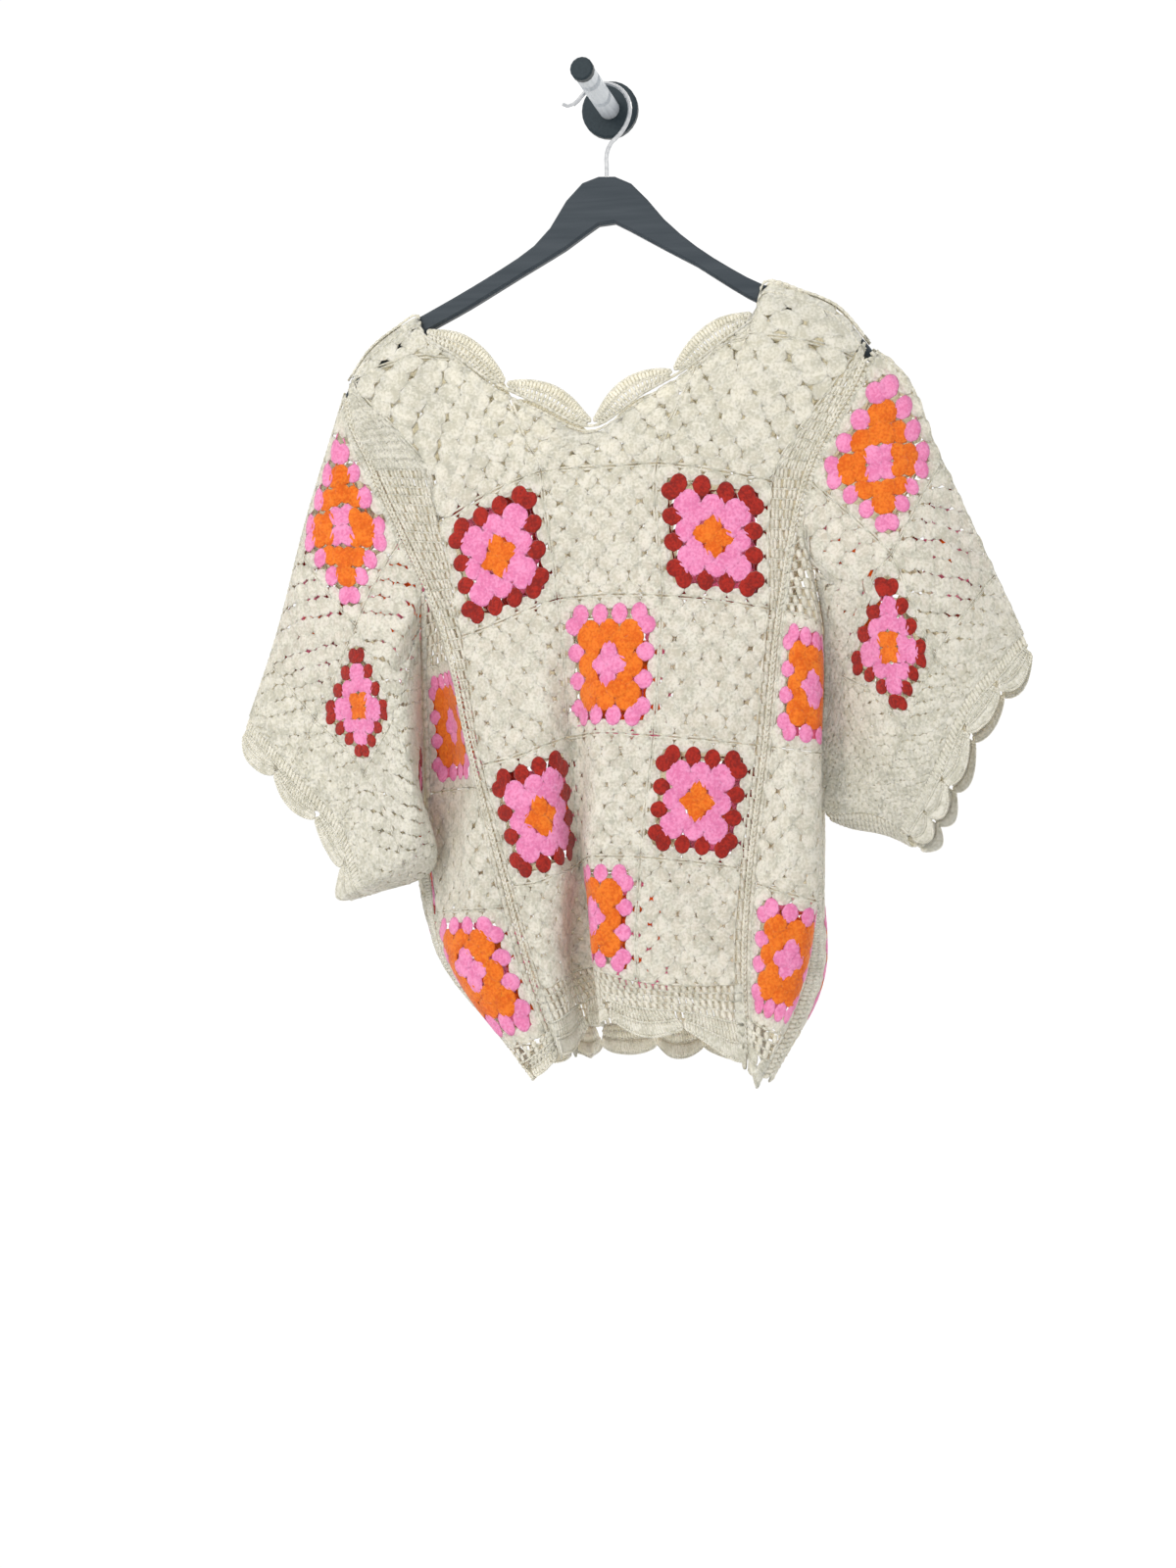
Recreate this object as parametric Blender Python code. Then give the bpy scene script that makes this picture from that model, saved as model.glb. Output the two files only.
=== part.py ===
"""A short crochet top of granny squares with wide sleeves, hung on a wooden hanger from a wall hook.

Lengths are millimetres until a mesh is made. The origin is the middle of the hook plate's back, on
the wall. +Z is up, the wall faces -Y, and the garment shows its back to the room.
"""

from collections import namedtuple
import math

import bmesh
import bpy
import numpy as np

MM = 0.001
CLOTH = 2.0  # thickness of the crochet
GAP = 0.3  # between pieces that touch
SEAM_R = 1.5  # radius of a raised joining seam
EDGE = SEAM_R + 3 * GAP  # from a joining seam's line to a panel's edge
MOST_LEAN = 4.5  # times a margin is lengthened where sections run slanting from a seam
ARM_EDGE = 3.2  # from the line of an armhole to the sleeve's edge
MEET = 1.1  # from the line where a side meets a sleeve or a band to the side's edge
GAP_AT = (0.27, 0.335, 0.665, 0.73)  # of a square's side: where its large corner gaps start and end
LINE_POINTS = 121  # points that stand for one section of cloth
EDGING_ROW = 4.12  # row where the hem edging starts
SLIT = 0.004  # rows that are left between two pieces joined edge to edge
LAST_ROW = 0.02  # rows from the end of a hem edging or a sleeve to its last section
SIDE_APEX = 0.2  # rows from the point of a side column to its first grid line
SLEEVE_FOLD = 0.01  # row of a sleeve's first grid line, just past its top fold
CUFF_COLUMN = 2.4  # column where the cuff edging starts
CUFF_BAND = 16.0  # depth of the cuff edging where two scallops meet
NECK_BAND = 3.0  # depth of the neck edging where two scallops meet
LABEL_T = 0.6
LABEL_LIFT = 2.3  # from the middle of the cloth to the middle of the label
LABEL_END = 0.25  # share of the label's last grid cell that it covers
SCALLOP_STEPS = 4  # straight steps along one scallop
HEM_SCALLOP = 0.12  # rows
CUFF_SCALLOP = 11.0
NECK_SCALLOP = 15.0
HEM_SCALLOPS = {"middle": 6, "side": 2}  # along the hem edging of one panel
CUFF_SCALLOPS = 5
NECK_X = (-148.0, -3.0, 131.0)  # where the neck edging starts, turns and ends
SEAM_ROW = -0.86  # where a joining seam starts
SEAM_END = 0.06  # rows from a joining seam's end to the panel's last section
SEAM_POINTS = 26
ARMHOLE_TURN = 0.1  # rows over which an armhole passes from the joining seam to the side's edge
BAND_POINTS = 14
BAND_ROW = 0.25  # rows from the under-arm to the top of a side band
BAND_BOW = 3.0  # how far a side or under-arm band bows outwards
BAND_MARGIN = 0.2  # from a band to each layer that it joins
ARM_BAND = (0.14, 0.88)  # shares of the sleeve's length where the under-arm band starts and ends
ARM_BAND_POINTS = 8
ARM_BAND_MARGIN = 0.7
SHOULDER_POINTS = 10
SHOULDER_BOW = 0.6
SHOULDER_MARGIN = 1.9

HANGER_Y = -48.0
HANGER_T = 10.0
HANGER_NOSE = 14.0  # length over which the hanger's ends are rounded off
HANGER_END = 0.35  # share of the hanger's thickness at its very ends
HANGER_STATIONS = 34
CHAMFER = 2.5
PLATE_R = 24.0
PLATE_T = 8.0
PEG_R = 8.8
GROOVE_R = 7.0
PEG_TIP = -112.0
CAP_R = 9.4
CAP_END = -120.0
GROOVES = (HANGER_Y, HANGER_Y - 44)
GROOVE_HALF = (5, 3)  # half of a groove's width at its top and at its bottom
WIRE_R = 1.75
WIRE_POINTS = 30

# Colour, roughness and metallic value of each material.
FINISHES = {
    "cream_cotton": ((0.78, 0.74, 0.62), 0.9, 0.0),
    "edging_cotton": ((0.84, 0.78, 0.64), 0.9, 0.0),
    "black_wood": ((0.03, 0.035, 0.04), 0.5, 0.0),
    "black_plastic": ((0.025, 0.025, 0.028), 0.55, 0.0),
    "aluminium": ((0.75, 0.76, 0.78), 0.3, 1.0),
    "label_cloth": ((0.85, 0.84, 0.82), 0.8, 0.0),
}

# One line across a panel. row counts squares down the panel from the yoke, left and right are the
# plain bands beside the squares, and x, y and z hold the line's stations from left to right.
Section = namedtuple("Section", "row left right x y z")

BACK = (
    Section(-1.00, 8, 8,
            (-216, -194, -173, -154, -150, -120, -88, -48, -3, 38, 75, 106, 133, 137, 170, 194, 223),
            (-54, -54, -54, -54, -59, -60, -60, -61, -62, -61, -60, -60, -59, -54, -54, -54, -54),
            (-231, -201, -186, -176, -190, -212, -235, -255, -275, -250, -230, -208, -187, -162, -171, -182, -215)),
    Section(-0.92, 10, 8,
            (-214, -192, -170, -151, -146, -117, -86, -47, -3, 37, 73, 103, 130, 135, 168, 192, 220),
            (-59, -59, -59, -59, -60, -61, -62, -63, -64, -63, -62, -61, -60, -59, -59, -59, -59),
            (-241, -211, -196, -187, -197, -219, -242, -262, -280, -257, -237, -215, -194, -174, -181, -192, -225)),
    Section(0.0, 52, 26,
            (-190, -137, -87, -37, 12, 60, 108, 174),
            (-64, -70, -74, -76, -76, -76, -74, -66),
            (-306, -308, -309, -309, -309, -309, -310, -317)),
    Section(1.0, 16, 8,
            (-129, -85, -36, -8, 20, 60, 105, 153),
            (-77, -84, -86, -82, -84, -86, -85, -79),
            (-432, -428, -419, -416, -415, -417, -421, -430)),
    Section(2.0, 8, 7,
            (-101, -62, -33, -14, 5, 50, 98, 142),
            (-84, -92, -92, -72, -90, -94, -93, -85),
            (-540, -538, -532, -529, -527, -529, -533, -538)),
    Section(3.0, 7, 7,
            (-73, -46, -28, -15, 3, 36, 85, 130),
            (-87, -95, -93, -58, -93, -97, -95, -87),
            (-640, -641, -636, -630, -625, -626, -630, -636)),
    Section(4.0, 7, 7,
            (-44, -32, -25, -16, -5, 8, 40, 82, 126),
            (-90, -96, -90, -50, -52, -94, -99, -97, -88),
            (-734, -733, -728, -722, -719, -719, -726, -729, -728)),
    Section(4.5, 7, 7,
            (-27, -24, -20, -12, 0, 12, 42, 84, 129),
            (-86, -92, -84, -52, -52, -92, -98, -96, -86),
            (-780, -781, -778, -770, -762, -755, -762, -764, -786)),
)

FRONT = (
    Section(-1.00, 8, 8,
            (-216, -194, -173, -154, -150, -120, -88, -48, -3, 38, 75, 106, 133, 137, 170, 194, 223),
            (-42, -42, -42, -42, -37, -36, -35, -35, -34, -35, -35, -36, -37, -42, -42, -42, -42),
            (-231, -201, -186, -176, -191, -219, -246, -270, -292, -266, -242, -216, -189, -162, -171, -182, -215)),
    Section(-0.92, 10, 8,
            (-214, -192, -170, -151, -146, -117, -86, -47, -3, 37, 73, 103, 130, 135, 168, 192, 220),
            (-37, -37, -37, -37, -36, -35, -34, -33, -32, -33, -34, -35, -36, -37, -37, -37, -37),
            (-241, -211, -196, -187, -198, -226, -252, -276, -297, -272, -248, -222, -196, -174, -181, -192, -225)),
    Section(0.0, 45, 30,
            (-190, -137, -87, -37, 12, 60, 108, 174),
            (-34, -30, -27, -26, -26, -27, -29, -33),
            (-306, -312, -318, -321, -322, -320, -316, -317)),
    Section(1.0, 14, 10,
            (-129, -85, -42, -8, 20, 60, 105, 153),
            (-27, -22, -20, -21, -22, -19, -21, -26),
            (-432, -431, -430, -430, -430, -430, -430, -430)),
    Section(2.0, 8, 8,
            (-101, -60, -30, -8, 18, 55, 98, 142),
            (-24, -18, -16, -24, -18, -15, -17, -23),
            (-540, -539, -538, -538, -538, -538, -538, -538)),
    Section(3.0, 7, 7,
            (-75, -42, -24, -6, 14, 40, 62, 95, 130),
            (-22, -16, -17, -33, -18, -14, -24, -15, -22),
            (-642, -642, -642, -642, -642, -642, -642, -642, -640)),
    Section(4.0, 7, 7,
            (-46, -32, -22, -8, 10, 36, 62, 90, 126),
            (-22, -16, -20, -38, -18, -14, -32, -14, -22),
            (-746, -746, -746, -745, -745, -745, -745, -744, -742)),
    Section(4.5, 7, 7,
            (-30, -24, -18, -6, 10, 36, 62, 90, 128),
            (-26, -18, -22, -40, -20, -14, -34, -14, -24),
            (-788, -788, -788, -787, -786, -786, -786, -787, -788)),
)

# The side columns run from a raised seam round to the side band, or to the sleeve above the arm.
SIDE_BACK_LEFT = (
    Section(0.75, 2, 2, (-139, -142, -145), (-77, -77, -76), (-405, -407, -409)),
    Section(1.0, 5, 5, (-129, -136, -150), (-77, -68, -60), (-432, -434, -440)),
    Section(2.0, 6, 6, (-101, -110, -126, -152), (-84, -68, -50, -44), (-540, -540, -541, -545)),
    Section(3.0, 6, 6, (-73, -95, -114, -146), (-87, -92, -74, -43), (-640, -642, -645, -650)),
    Section(4.0, 6, 6, (-44, -72, -100, -114), (-90, -99, -90, -58), (-734, -736, -737, -736)),
    Section(4.5, 6, 6, (-27, -38, -50, -56), (-86, -96, -86, -56), (-780, -794, -803, -799)),
)
SIDE_BACK_RIGHT = (
    Section(0.5, 2, 2, (166, 169, 172), (-76, -77, -77), (-360, -361, -362)),
    Section(1.0, 5, 5, (153, 170, 181, 184), (-79, -87, -83, -60), (-430, -433, -437, -440)),
    Section(2.0, 6, 6, (142, 168, 183, 178), (-85, -93, -86, -48), (-538, -541, -543, -545)),
    Section(3.0, 6, 6, (130, 160, 182, 176), (-87, -98, -88, -50), (-636, -644, -650, -654)),
    Section(4.0, 6, 6, (126, 146, 164, 167), (-88, -97, -90, -72), (-728, -738, -742, -742)),
    Section(4.5, 6, 6, (129, 133, 138, 139), (-86, -94, -92, -84), (-786, -793, -801, -803)),
)
SIDE_FRONT_LEFT = (
    Section(0.75, 2, 2, (-139, -142, -145), (-28, -28, -29), (-405, -407, -409)),
    Section(1.0, 5, 5, (-129, -142, -154), (-27, -24, -34), (-432, -434, -440)),
    Section(2.0, 6, 6, (-101, -130, -152, -156), (-24, -16, -20, -32), (-540, -540, -541, -545)),
    Section(3.0, 6, 6, (-75, -120, -164, -152), (-22, -14, -20, -30), (-642, -646, -652, -652)),
    Section(4.0, 6, 6, (-46, -80, -116, -122), (-22, -13, -22, -44), (-746, -744, -738, -736)),
    Section(4.5, 6, 6, (-30, -40, -54, -62), (-26, -16, -24, -42), (-788, -796, -800, -798)),
)
SIDE_FRONT_RIGHT = (
    Section(0.5, 2, 2, (166, 169, 172), (-30, -29, -29), (-360, -361, -362)),
    Section(1.0, 5, 5, (153, 172, 183, 186), (-26, -20, -22, -36), (-430, -433, -437, -440)),
    Section(2.0, 6, 6, (142, 168, 182, 180), (-23, -15, -18, -32), (-538, -541, -543, -545)),
    Section(3.0, 6, 6, (130, 160, 182, 180), (-22, -14, -20, -36), (-640, -644, -650, -654)),
    Section(4.0, 6, 6, (126, 154, 176, 177), (-22, -14, -30, -58), (-742, -744, -744, -742)),
    Section(4.5, 6, 6, (128, 138, 146, 146), (-24, -22, -46, -70), (-788, -796, -801, -800)),
)

# A sleeve's rows run round the arm from its top fold to the under-arm, and its stations go from the
# body out to the cuff, whose plain border is the right band.
SLEEVE_BACK_LEFT = (
    Section(0.0, 6, 42, (-221, -250, -282, -314), (-50, -49, -47, -46), (-233, -330, -446, -534)),
    Section(0.12, 6, 42, (-218, -247, -278, -310), (-58, -57, -55, -53), (-246, -338, -452, -540)),
    Section(0.5, 6, 42, (-206, -234, -262, -294), (-66, -68, -62, -60), (-283, -366, -468, -555)),
    Section(1.0, 6, 40, (-173, -208, -238, -271), (-75, -78, -68, -66), (-328, -402, -490, -576)),
    Section(2.0, 6, 38, (-148, -170, -196, -224), (-80, -95, -84, -76), (-386, -480, -566, -622)),
    Section(3.0, 6, 30, (-152, -147, -145, -205), (-58, -94, -97, -86), (-470, -540, -624, -662)),
    Section(3.5, 6, 24, (-155, -151, -134, -198), (-48, -62, -70, -66), (-530, -580, -634, -662)),
    Section(4.0, 6, 20, (-153, -158, -172, -202), (-42, -44, -46, -52), (-604, -628, -648, -662)),
)
SLEEVE_FRONT_LEFT = (
    Section(0.0, 6, 42, (-221, -250, -282, -314), (-46, -45, -43, -42), (-233, -330, -446, -534)),
    Section(0.12, 6, 42, (-218, -248, -279, -311), (-38, -37, -36, -36), (-246, -338, -452, -540)),
    Section(0.5, 6, 42, (-206, -238, -266, -296), (-35, -30, -28, -29), (-283, -368, -470, -553)),
    Section(1.0, 6, 40, (-173, -214, -244, -276), (-32, -26, -24, -26), (-328, -402, -492, -572)),
    Section(2.0, 6, 38, (-156, -186, -212, -240), (-32, -18, -17, -22), (-400, -490, -560, -612)),
    Section(4.0, 6, 24, (-158, -166, -180, -210), (-30, -28, -28, -36), (-600, -622, -642, -656)),
)
SLEEVE_BACK_RIGHT = (
    Section(0.0, 6, 42, (228, 250, 278, 326, 354), (-50, -49, -48, -47, -46), (-214, -232, -303, -410, -472)),
    Section(0.12, 6, 42, (221, 241, 270, 320, 349), (-59, -58, -57, -56, -54), (-229, -247, -314, -418, -478)),
    Section(0.5, 6, 42, (196, 256, 306, 336), (-66, -72, -74, -66), (-268, -344, -436, -495)),
    Section(1.0, 6, 40, (175, 234, 281, 316), (-74, -85, -87, -74), (-326, -384, -458, -516)),
    Section(2.0, 6, 40, (184, 202, 246, 288), (-56, -58, -78, -66), (-424, -462, -522, -576)),
    Section(3.3, 6, 30, (174, 198, 230, 260), (-43, -48, -52, -49), (-580, -588, -594, -616)),
)
SLEEVE_FRONT_RIGHT = (
    Section(0.0, 6, 42, (228, 250, 278, 326, 354), (-46, -45, -44, -43, -42), (-214, -232, -303, -410, -472)),
    Section(0.12, 6, 42, (221, 241, 271, 321, 350), (-37, -37, -36, -35, -36), (-229, -247, -314, -418, -478)),
    Section(0.5, 6, 42, (196, 258, 308, 338), (-35, -29, -27, -30), (-268, -346, -438, -498)),
    Section(1.0, 6, 40, (175, 236, 284, 318), (-31, -25, -22, -26), (-326, -386, -460, -522)),
    Section(2.0, 6, 40, (186, 210, 252, 293), (-32, -20, -18, -26), (-424, -468, -528, -582)),
    Section(3.3, 6, 30, (178, 202, 236, 266), (-30, -32, -34, -36), (-586, -602, -610, -624)),
)

SIDES = {
    "back_left": SIDE_BACK_LEFT, "back_right": SIDE_BACK_RIGHT,
    "front_left": SIDE_FRONT_LEFT, "front_right": SIDE_FRONT_RIGHT,
}
SLEEVES = {
    "back_left": SLEEVE_BACK_LEFT, "back_right": SLEEVE_BACK_RIGHT,
    "front_left": SLEEVE_FRONT_LEFT, "front_right": SLEEVE_FRONT_RIGHT,
}

# Where each shoulder's band starts and ends along X.
SHOULDERS = {"left": (-211, -170), "right": (172, 217)}

# Grid lines down a yoke, which of their cells are gap cells, and where the label lies on that grid.
YOKE_ROWS = (-1.0, -0.96, -0.92, -0.73, -0.665, -0.335, -0.27, -SLIT)
YOKE_GAPS = (3, 5)
LABEL_CELLS = np.s_[8:12, 2:6]

# Where a sleeve's rows meet the body's rows, from the shoulder to the under-arm.
Turn = namedtuple("Turn", "sleeve body")
ARMHOLES = {
    "left": (Turn(0, -1), Turn(0.12, -0.85), Turn(0.5, -0.33), Turn(1, 0.18), Turn(2, 0.8), Turn(3, 1.4),
             Turn(3.5, 1.95), Turn(4, 2.6)),
    "right": (Turn(0, -1), Turn(0.12, -0.85), Turn(0.5, -0.4), Turn(1, 0.15), Turn(1.27, 0.5),
              Turn(1.335, 0.69), Turn(2, 1.1), Turn(3.3, 2.4)),
}

# Where the wire goes: from its free tip, over the peg, round and down into the hanger.
Bend = namedtuple("Bend", "x z")
HOOK = (
    Bend(-31, -6), Bend(-26, -8), Bend(-20, -5), Bend(-13, 2.4), Bend(-6, 8.0), Bend(3, 9.6),
    Bend(14, 6.5), Bend(22, -1), Bend(25.5, -11), Bend(23.5, -23), Bend(16.5, -34),
    Bend(9, -41), Bend(6, -49), Bend(6, -60), Bend(6, -67.5),
)
# The hanger's outline at its stations from left to right.
Rib = namedtuple("Rib", "x top low")
HANGER = (
    Rib(-219, -240, -245), Rib(-212, -229, -243), Rib(-203, -217, -233), Rib(-192, -205.5, -222),
    Rib(-180, -193, -211), Rib(-169, -185, -202), Rib(-154, -177.5, -194), Rib(-108, -154, -171),
    Rib(-81, -139, -156), Rib(-63, -128, -146), Rib(-50, -118, -139), Rib(-39, -105, -133),
    Rib(-30, -90, -128), Rib(-20, -77, -122), Rib(-8, -70, -113), Rib(8, -68, -106),
    Rib(24, -73, -113), Rib(38, -86, -121), Rib(50, -101, -128), Rib(64, -115, -136),
    Rib(82, -130, -146), Rib(104, -145, -161), Rib(138, -164, -181), Rib(170, -172.6, -190),
    Rib(182, -177.2, -195), Rib(192, -186.5, -204), Rib(203, -196.8, -214), Rib(214, -207.5, -223),
    Rib(224, -219, -230), Rib(232, -230, -236),
)


def finish(name):
    """The named material, made once."""
    made = bpy.data.materials.get(name)
    if made:
        return made
    colour, roughness, metallic = FINISHES[name]
    made = bpy.data.materials.new(name)
    made.use_nodes = True
    shader = made.node_tree.nodes["Principled BSDF"]
    shader.inputs["Base Color"].default_value = (*colour, 1)
    shader.inputs["Roughness"].default_value = roughness
    shader.inputs["Metallic"].default_value = metallic
    return made


def add_object(name, points, faces, material):
    """A mesh object from points in millimetres."""
    mesh = bpy.data.meshes.new(name)
    mesh.from_pydata([tuple(p * MM) for p in np.asarray(points, float)], [], faces)
    part = bpy.data.objects.new(name, mesh)
    bpy.context.scene.collection.objects.link(part)
    mesh.materials.append(finish(material))
    mesh.shade_smooth()
    mesh.set_sharp_from_angle(angle=math.radians(40))
    return part


def turned(name, profile, material, steps=32):
    """A body turned about the Y axis from (radius, y) corners, given from the wall outwards."""
    points, faces = [], []
    for radius, y in profile:
        for k in range(steps):
            angle = 2 * math.pi * k / steps
            points.append((radius * math.cos(angle), y, radius * math.sin(angle)))
    for j in range(len(profile) - 1):
        for k in range(steps):
            n = (k + 1) % steps
            a, b = j * steps, (j + 1) * steps
            faces.append((a + k, b + k, b + n, a + n))
    faces.append(tuple(range(steps)))
    faces.append(tuple(reversed(range((len(profile) - 1) * steps, len(profile) * steps))))
    part = add_object(name, points, faces, material)
    face_out(part)
    return part


def face_out(part):
    """Turns the faces of a closed mesh outwards."""
    work = bmesh.new()
    work.from_mesh(part.data)
    bmesh.ops.recalc_face_normals(work, faces=work.faces)
    if work.calc_volume(signed=True) < 0:
        bmesh.ops.reverse_faces(work, faces=work.faces)
    work.to_mesh(part.data)
    work.free()


def through(knots, values, at):
    """A smooth line through values at their knots, and straight on past its ends."""
    knots = np.asarray(knots, float)
    values = np.asarray(values, float)
    step = np.diff(knots)
    slope = np.diff(values, axis=0) / step.reshape(-1, *[1] * (values.ndim - 1))
    lean = np.empty_like(values)
    lean[0], lean[-1] = slope[0], slope[-1]
    for i in range(1, len(knots) - 1):
        lean[i] = (slope[i - 1] * step[i] + slope[i] * step[i - 1]) / (step[i] + step[i - 1])
    at = np.asarray(at, float)
    i = np.clip(np.searchsorted(knots, at) - 1, 0, len(step) - 1)
    width = step[i]
    t = np.clip((at - knots[i]) / width, 0, 1)
    past = at - np.clip(at, knots[0], knots[-1])
    pick = (lambda a, j: a[j, np.arange(len(at))]) if values.ndim == 3 else (lambda a, j: a[j])
    shape = (-1, 1)
    t, width, past = t.reshape(shape), width.reshape(shape), past.reshape(shape)
    low, high = pick(values, i), pick(values, i + 1)
    rise, fall = pick(lean, i) * width, pick(lean, i + 1) * width
    curve = (
        low * (1 + 2 * t) * (1 - t) ** 2
        + rise * t * (1 - t) ** 2
        + high * t * t * (3 - 2 * t)
        + fall * t * t * (t - 1)
    )
    end = np.where(past < 0, pick(lean, i), pick(lean, i + 1))
    return curve + end * past


def evenly(points, count):
    """count points at even distances along the smooth line through the points, and its length."""
    points = np.asarray(points, float)
    knots = np.concatenate([[0], np.cumsum(np.linalg.norm(np.diff(points, axis=0), axis=1))])
    fine = through(knots, points, np.linspace(0, knots[-1], 12 * len(points)))
    along = np.concatenate([[0], np.cumsum(np.linalg.norm(np.diff(fine, axis=0), axis=1))])
    at = np.linspace(0, along[-1], count)
    return np.stack([np.interp(at, along, fine[:, k]) for k in range(3)], axis=1), along[-1]


class Cloth:
    """A cloth surface through sections. A place on it is (column, row), counted in squares.

    start, if given, is a function of the row whose points the first side edge is drawn onto.
    inner and outer are the margins that the first and the last edge keep.
    """

    def __init__(self, sections, columns, start=None, inner=EDGE, outer=EDGE):
        self.columns = columns
        self.rows = np.array([s.row for s in sections], float)
        lines = [evenly(np.stack([s.x, s.y, s.z], axis=1), LINE_POINTS) for s in sections]
        self.lines = np.array([line for line, _ in lines])
        self.start = start
        self.inner = inner
        self.outer = outer
        self.widths = np.array([[s.left, s.right, width] for s, (_, width) in zip(sections, lines)], float)

    def lean(self, row):
        """How much longer a margin is along the section at a row than square to the start edge."""
        if not self.start:
            return 1.0
        at = np.linspace(self.rows[0], self.rows[-1], 61)
        zero = np.zeros(len(at))
        across = self.on_sections(zero + 0.03, at) - self.on_sections(zero, at)
        ahead = self.start(at + 0.05) - self.start(at - 0.05)
        area = np.linalg.norm(np.cross(across, ahead), axis=1)
        whole = np.linalg.norm(across, axis=1) * np.linalg.norm(ahead, axis=1)
        return np.interp(row, at, whole / np.maximum(area, whole / MOST_LEAN + 1e-9))

    def share(self, column, row):
        """How far along its section a column is, from 0 to 1. The bands are a column wide each."""
        left, right, width = (np.interp(row, self.rows, self.widths[:, k]) for k in range(3))
        lean = self.lean(row)
        left, margin = left * lean, self.inner * lean
        inner = left + column / self.columns * (width - left - right)
        before = margin + (left - margin) * (1 + column)
        after = width - self.outer - (right - self.outer) * (1 + self.columns - column)
        return np.where(column < 0, before, np.where(column > self.columns, after, inner)) / width

    def on_sections(self, share, row):
        """Points at shares of the width, before the start edge is drawn in."""
        s = share * (LINE_POINTS - 1)
        i = np.clip(np.floor(s).astype(int), 0, LINE_POINTS - 2)
        t = (s - i).reshape(1, -1, 1)
        across = self.lines[:, i] * (1 - t) + self.lines[:, i + 1] * t
        return through(self.rows, across, row)

    def at(self, share, row):
        """Points at shares of the width, in millimetres."""
        share, row = np.broadcast_arrays(np.asarray(share, float), np.asarray(row, float))
        s, r = share.ravel(), row.ravel()
        points = self.on_sections(s, r)
        if self.start:
            miss = self.start(r) - self.on_sections(np.zeros_like(r), r)
            away = np.clip(2 * s, 0, 1)[:, None]
            points = points + miss * (1 - away) ** 2 * (1 + 2 * away)
        return points.reshape(*share.shape, 3)

    def place(self, column, row):
        """Points at columns and rows, in millimetres."""
        column, row = np.broadcast_arrays(np.asarray(column, float), np.asarray(row, float))
        return self.at(self.share(column, row), row)

    def edge(self, share):
        """One side edge as a function of the row."""
        return lambda row: self.at(np.full(np.shape(row), share), row)


def grid_normals(points):
    """Unit normals of a grid of points."""
    along = np.gradient(points, axis=0)
    down = np.gradient(points, axis=1)
    normal = np.cross(along, down)
    return normal / np.maximum(np.linalg.norm(normal, axis=2, keepdims=True), 1e-9)


def wall(name, points, material, holes=(), thick=CLOTH, lift=0.0):
    """A closed wall round a grid of points, with the listed cells cut through.

    lift moves it along the grid's normals, as for a piece that lies on a panel.
    """
    normal = grid_normals(points)
    nu, nv = points.shape[:2]
    outer = points + normal * (lift + thick / 2)
    inner = points + normal * (lift - thick / 2)
    both = np.concatenate([outer.reshape(-1, 3), inner.reshape(-1, 3)])
    back = nu * nv
    holes = set(holes)

    def solid(i, j):
        return 0 <= i < nu - 1 and 0 <= j < nv - 1 and (i, j) not in holes

    faces = []
    for i in range(nu - 1):
        for j in range(nv - 1):
            if not solid(i, j):
                continue
            a, b, c, d = i * nv + j, (i + 1) * nv + j, (i + 1) * nv + j + 1, i * nv + j + 1
            faces.append((a, b, c, d))
            faces.append((back + d, back + c, back + b, back + a))
            sides = ((a, b, i, j - 1), (b, c, i + 1, j), (c, d, i, j + 1), (d, a, i - 1, j))
            for start, end, k, m in sides:
                if not solid(k, m):
                    faces.append((end, start, back + start, back + end))
    used = sorted({p for f in faces for p in f})
    number = {p: k for k, p in enumerate(used)}
    part = add_object(name, both[used], [tuple(number[p] for p in f) for f in faces], material)
    face_out(part)
    return part


def tube(name, line, radius, material, sides=6):
    """A round bar along a line of points."""
    line = np.asarray(line, float)
    ahead = np.gradient(line, axis=0)
    ahead /= np.linalg.norm(ahead, axis=1, keepdims=True)
    side = np.cross(ahead[0], (0.31, 0.82, 0.47))
    points, faces = [], []
    for p, way in zip(line, ahead):
        side = side - way * (side @ way)
        side /= np.linalg.norm(side)
        other = np.cross(way, side)
        for k in range(sides):
            angle = 2 * math.pi * k / sides
            points.append(p + radius * (math.cos(angle) * side + math.sin(angle) * other))
    for j in range(len(line) - 1):
        for k in range(sides):
            n = (k + 1) % sides
            a, b = j * sides, (j + 1) * sides
            faces.append((a + k, a + n, b + n, b + k))
    faces.append(tuple(reversed(range(sides))))
    faces.append(tuple(range((len(line) - 1) * sides, len(line) * sides)))
    part = add_object(name, points, faces, material)
    face_out(part)
    return part


def square_lines(first, last, extra=()):
    """Grid lines over whole squares from first to last, and which of the cells are gap cells."""
    marks = sorted({*GAP_AT, *extra})
    lines = []
    gaps = []
    for square in range(first, last):
        for mark in (0.0, *marks):
            if mark in (GAP_AT[0], GAP_AT[2]):
                gaps.append(len(lines))
            lines.append(square + mark)
    return [*lines, float(last)], gaps


def build_hook():
    """The wall plate, the turned peg with its two grooves, and its end cap."""
    turned("wall_plate", ((PLATE_R - 1, 0), (PLATE_R, -1), (PLATE_R, 2 - PLATE_T), (PLATE_R - 2, -PLATE_T)),
           "black_plastic", steps=28)
    top, bottom = GROOVE_HALF
    profile = [(PEG_R, -PLATE_T - GAP)]
    for middle in GROOVES:
        profile += [(PEG_R, middle + top), (GROOVE_R, middle + bottom)]
        profile += [(GROOVE_R, middle - bottom), (PEG_R, middle - top)]
    profile.append((PEG_R, PEG_TIP))
    turned("peg", profile, "aluminium", steps=16)
    turned("peg_cap", ((CAP_R, PEG_TIP - GAP), (CAP_R, CAP_END + 1.5), (CAP_R - 1.5, CAP_END)),
           "black_plastic", steps=16)


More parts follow.
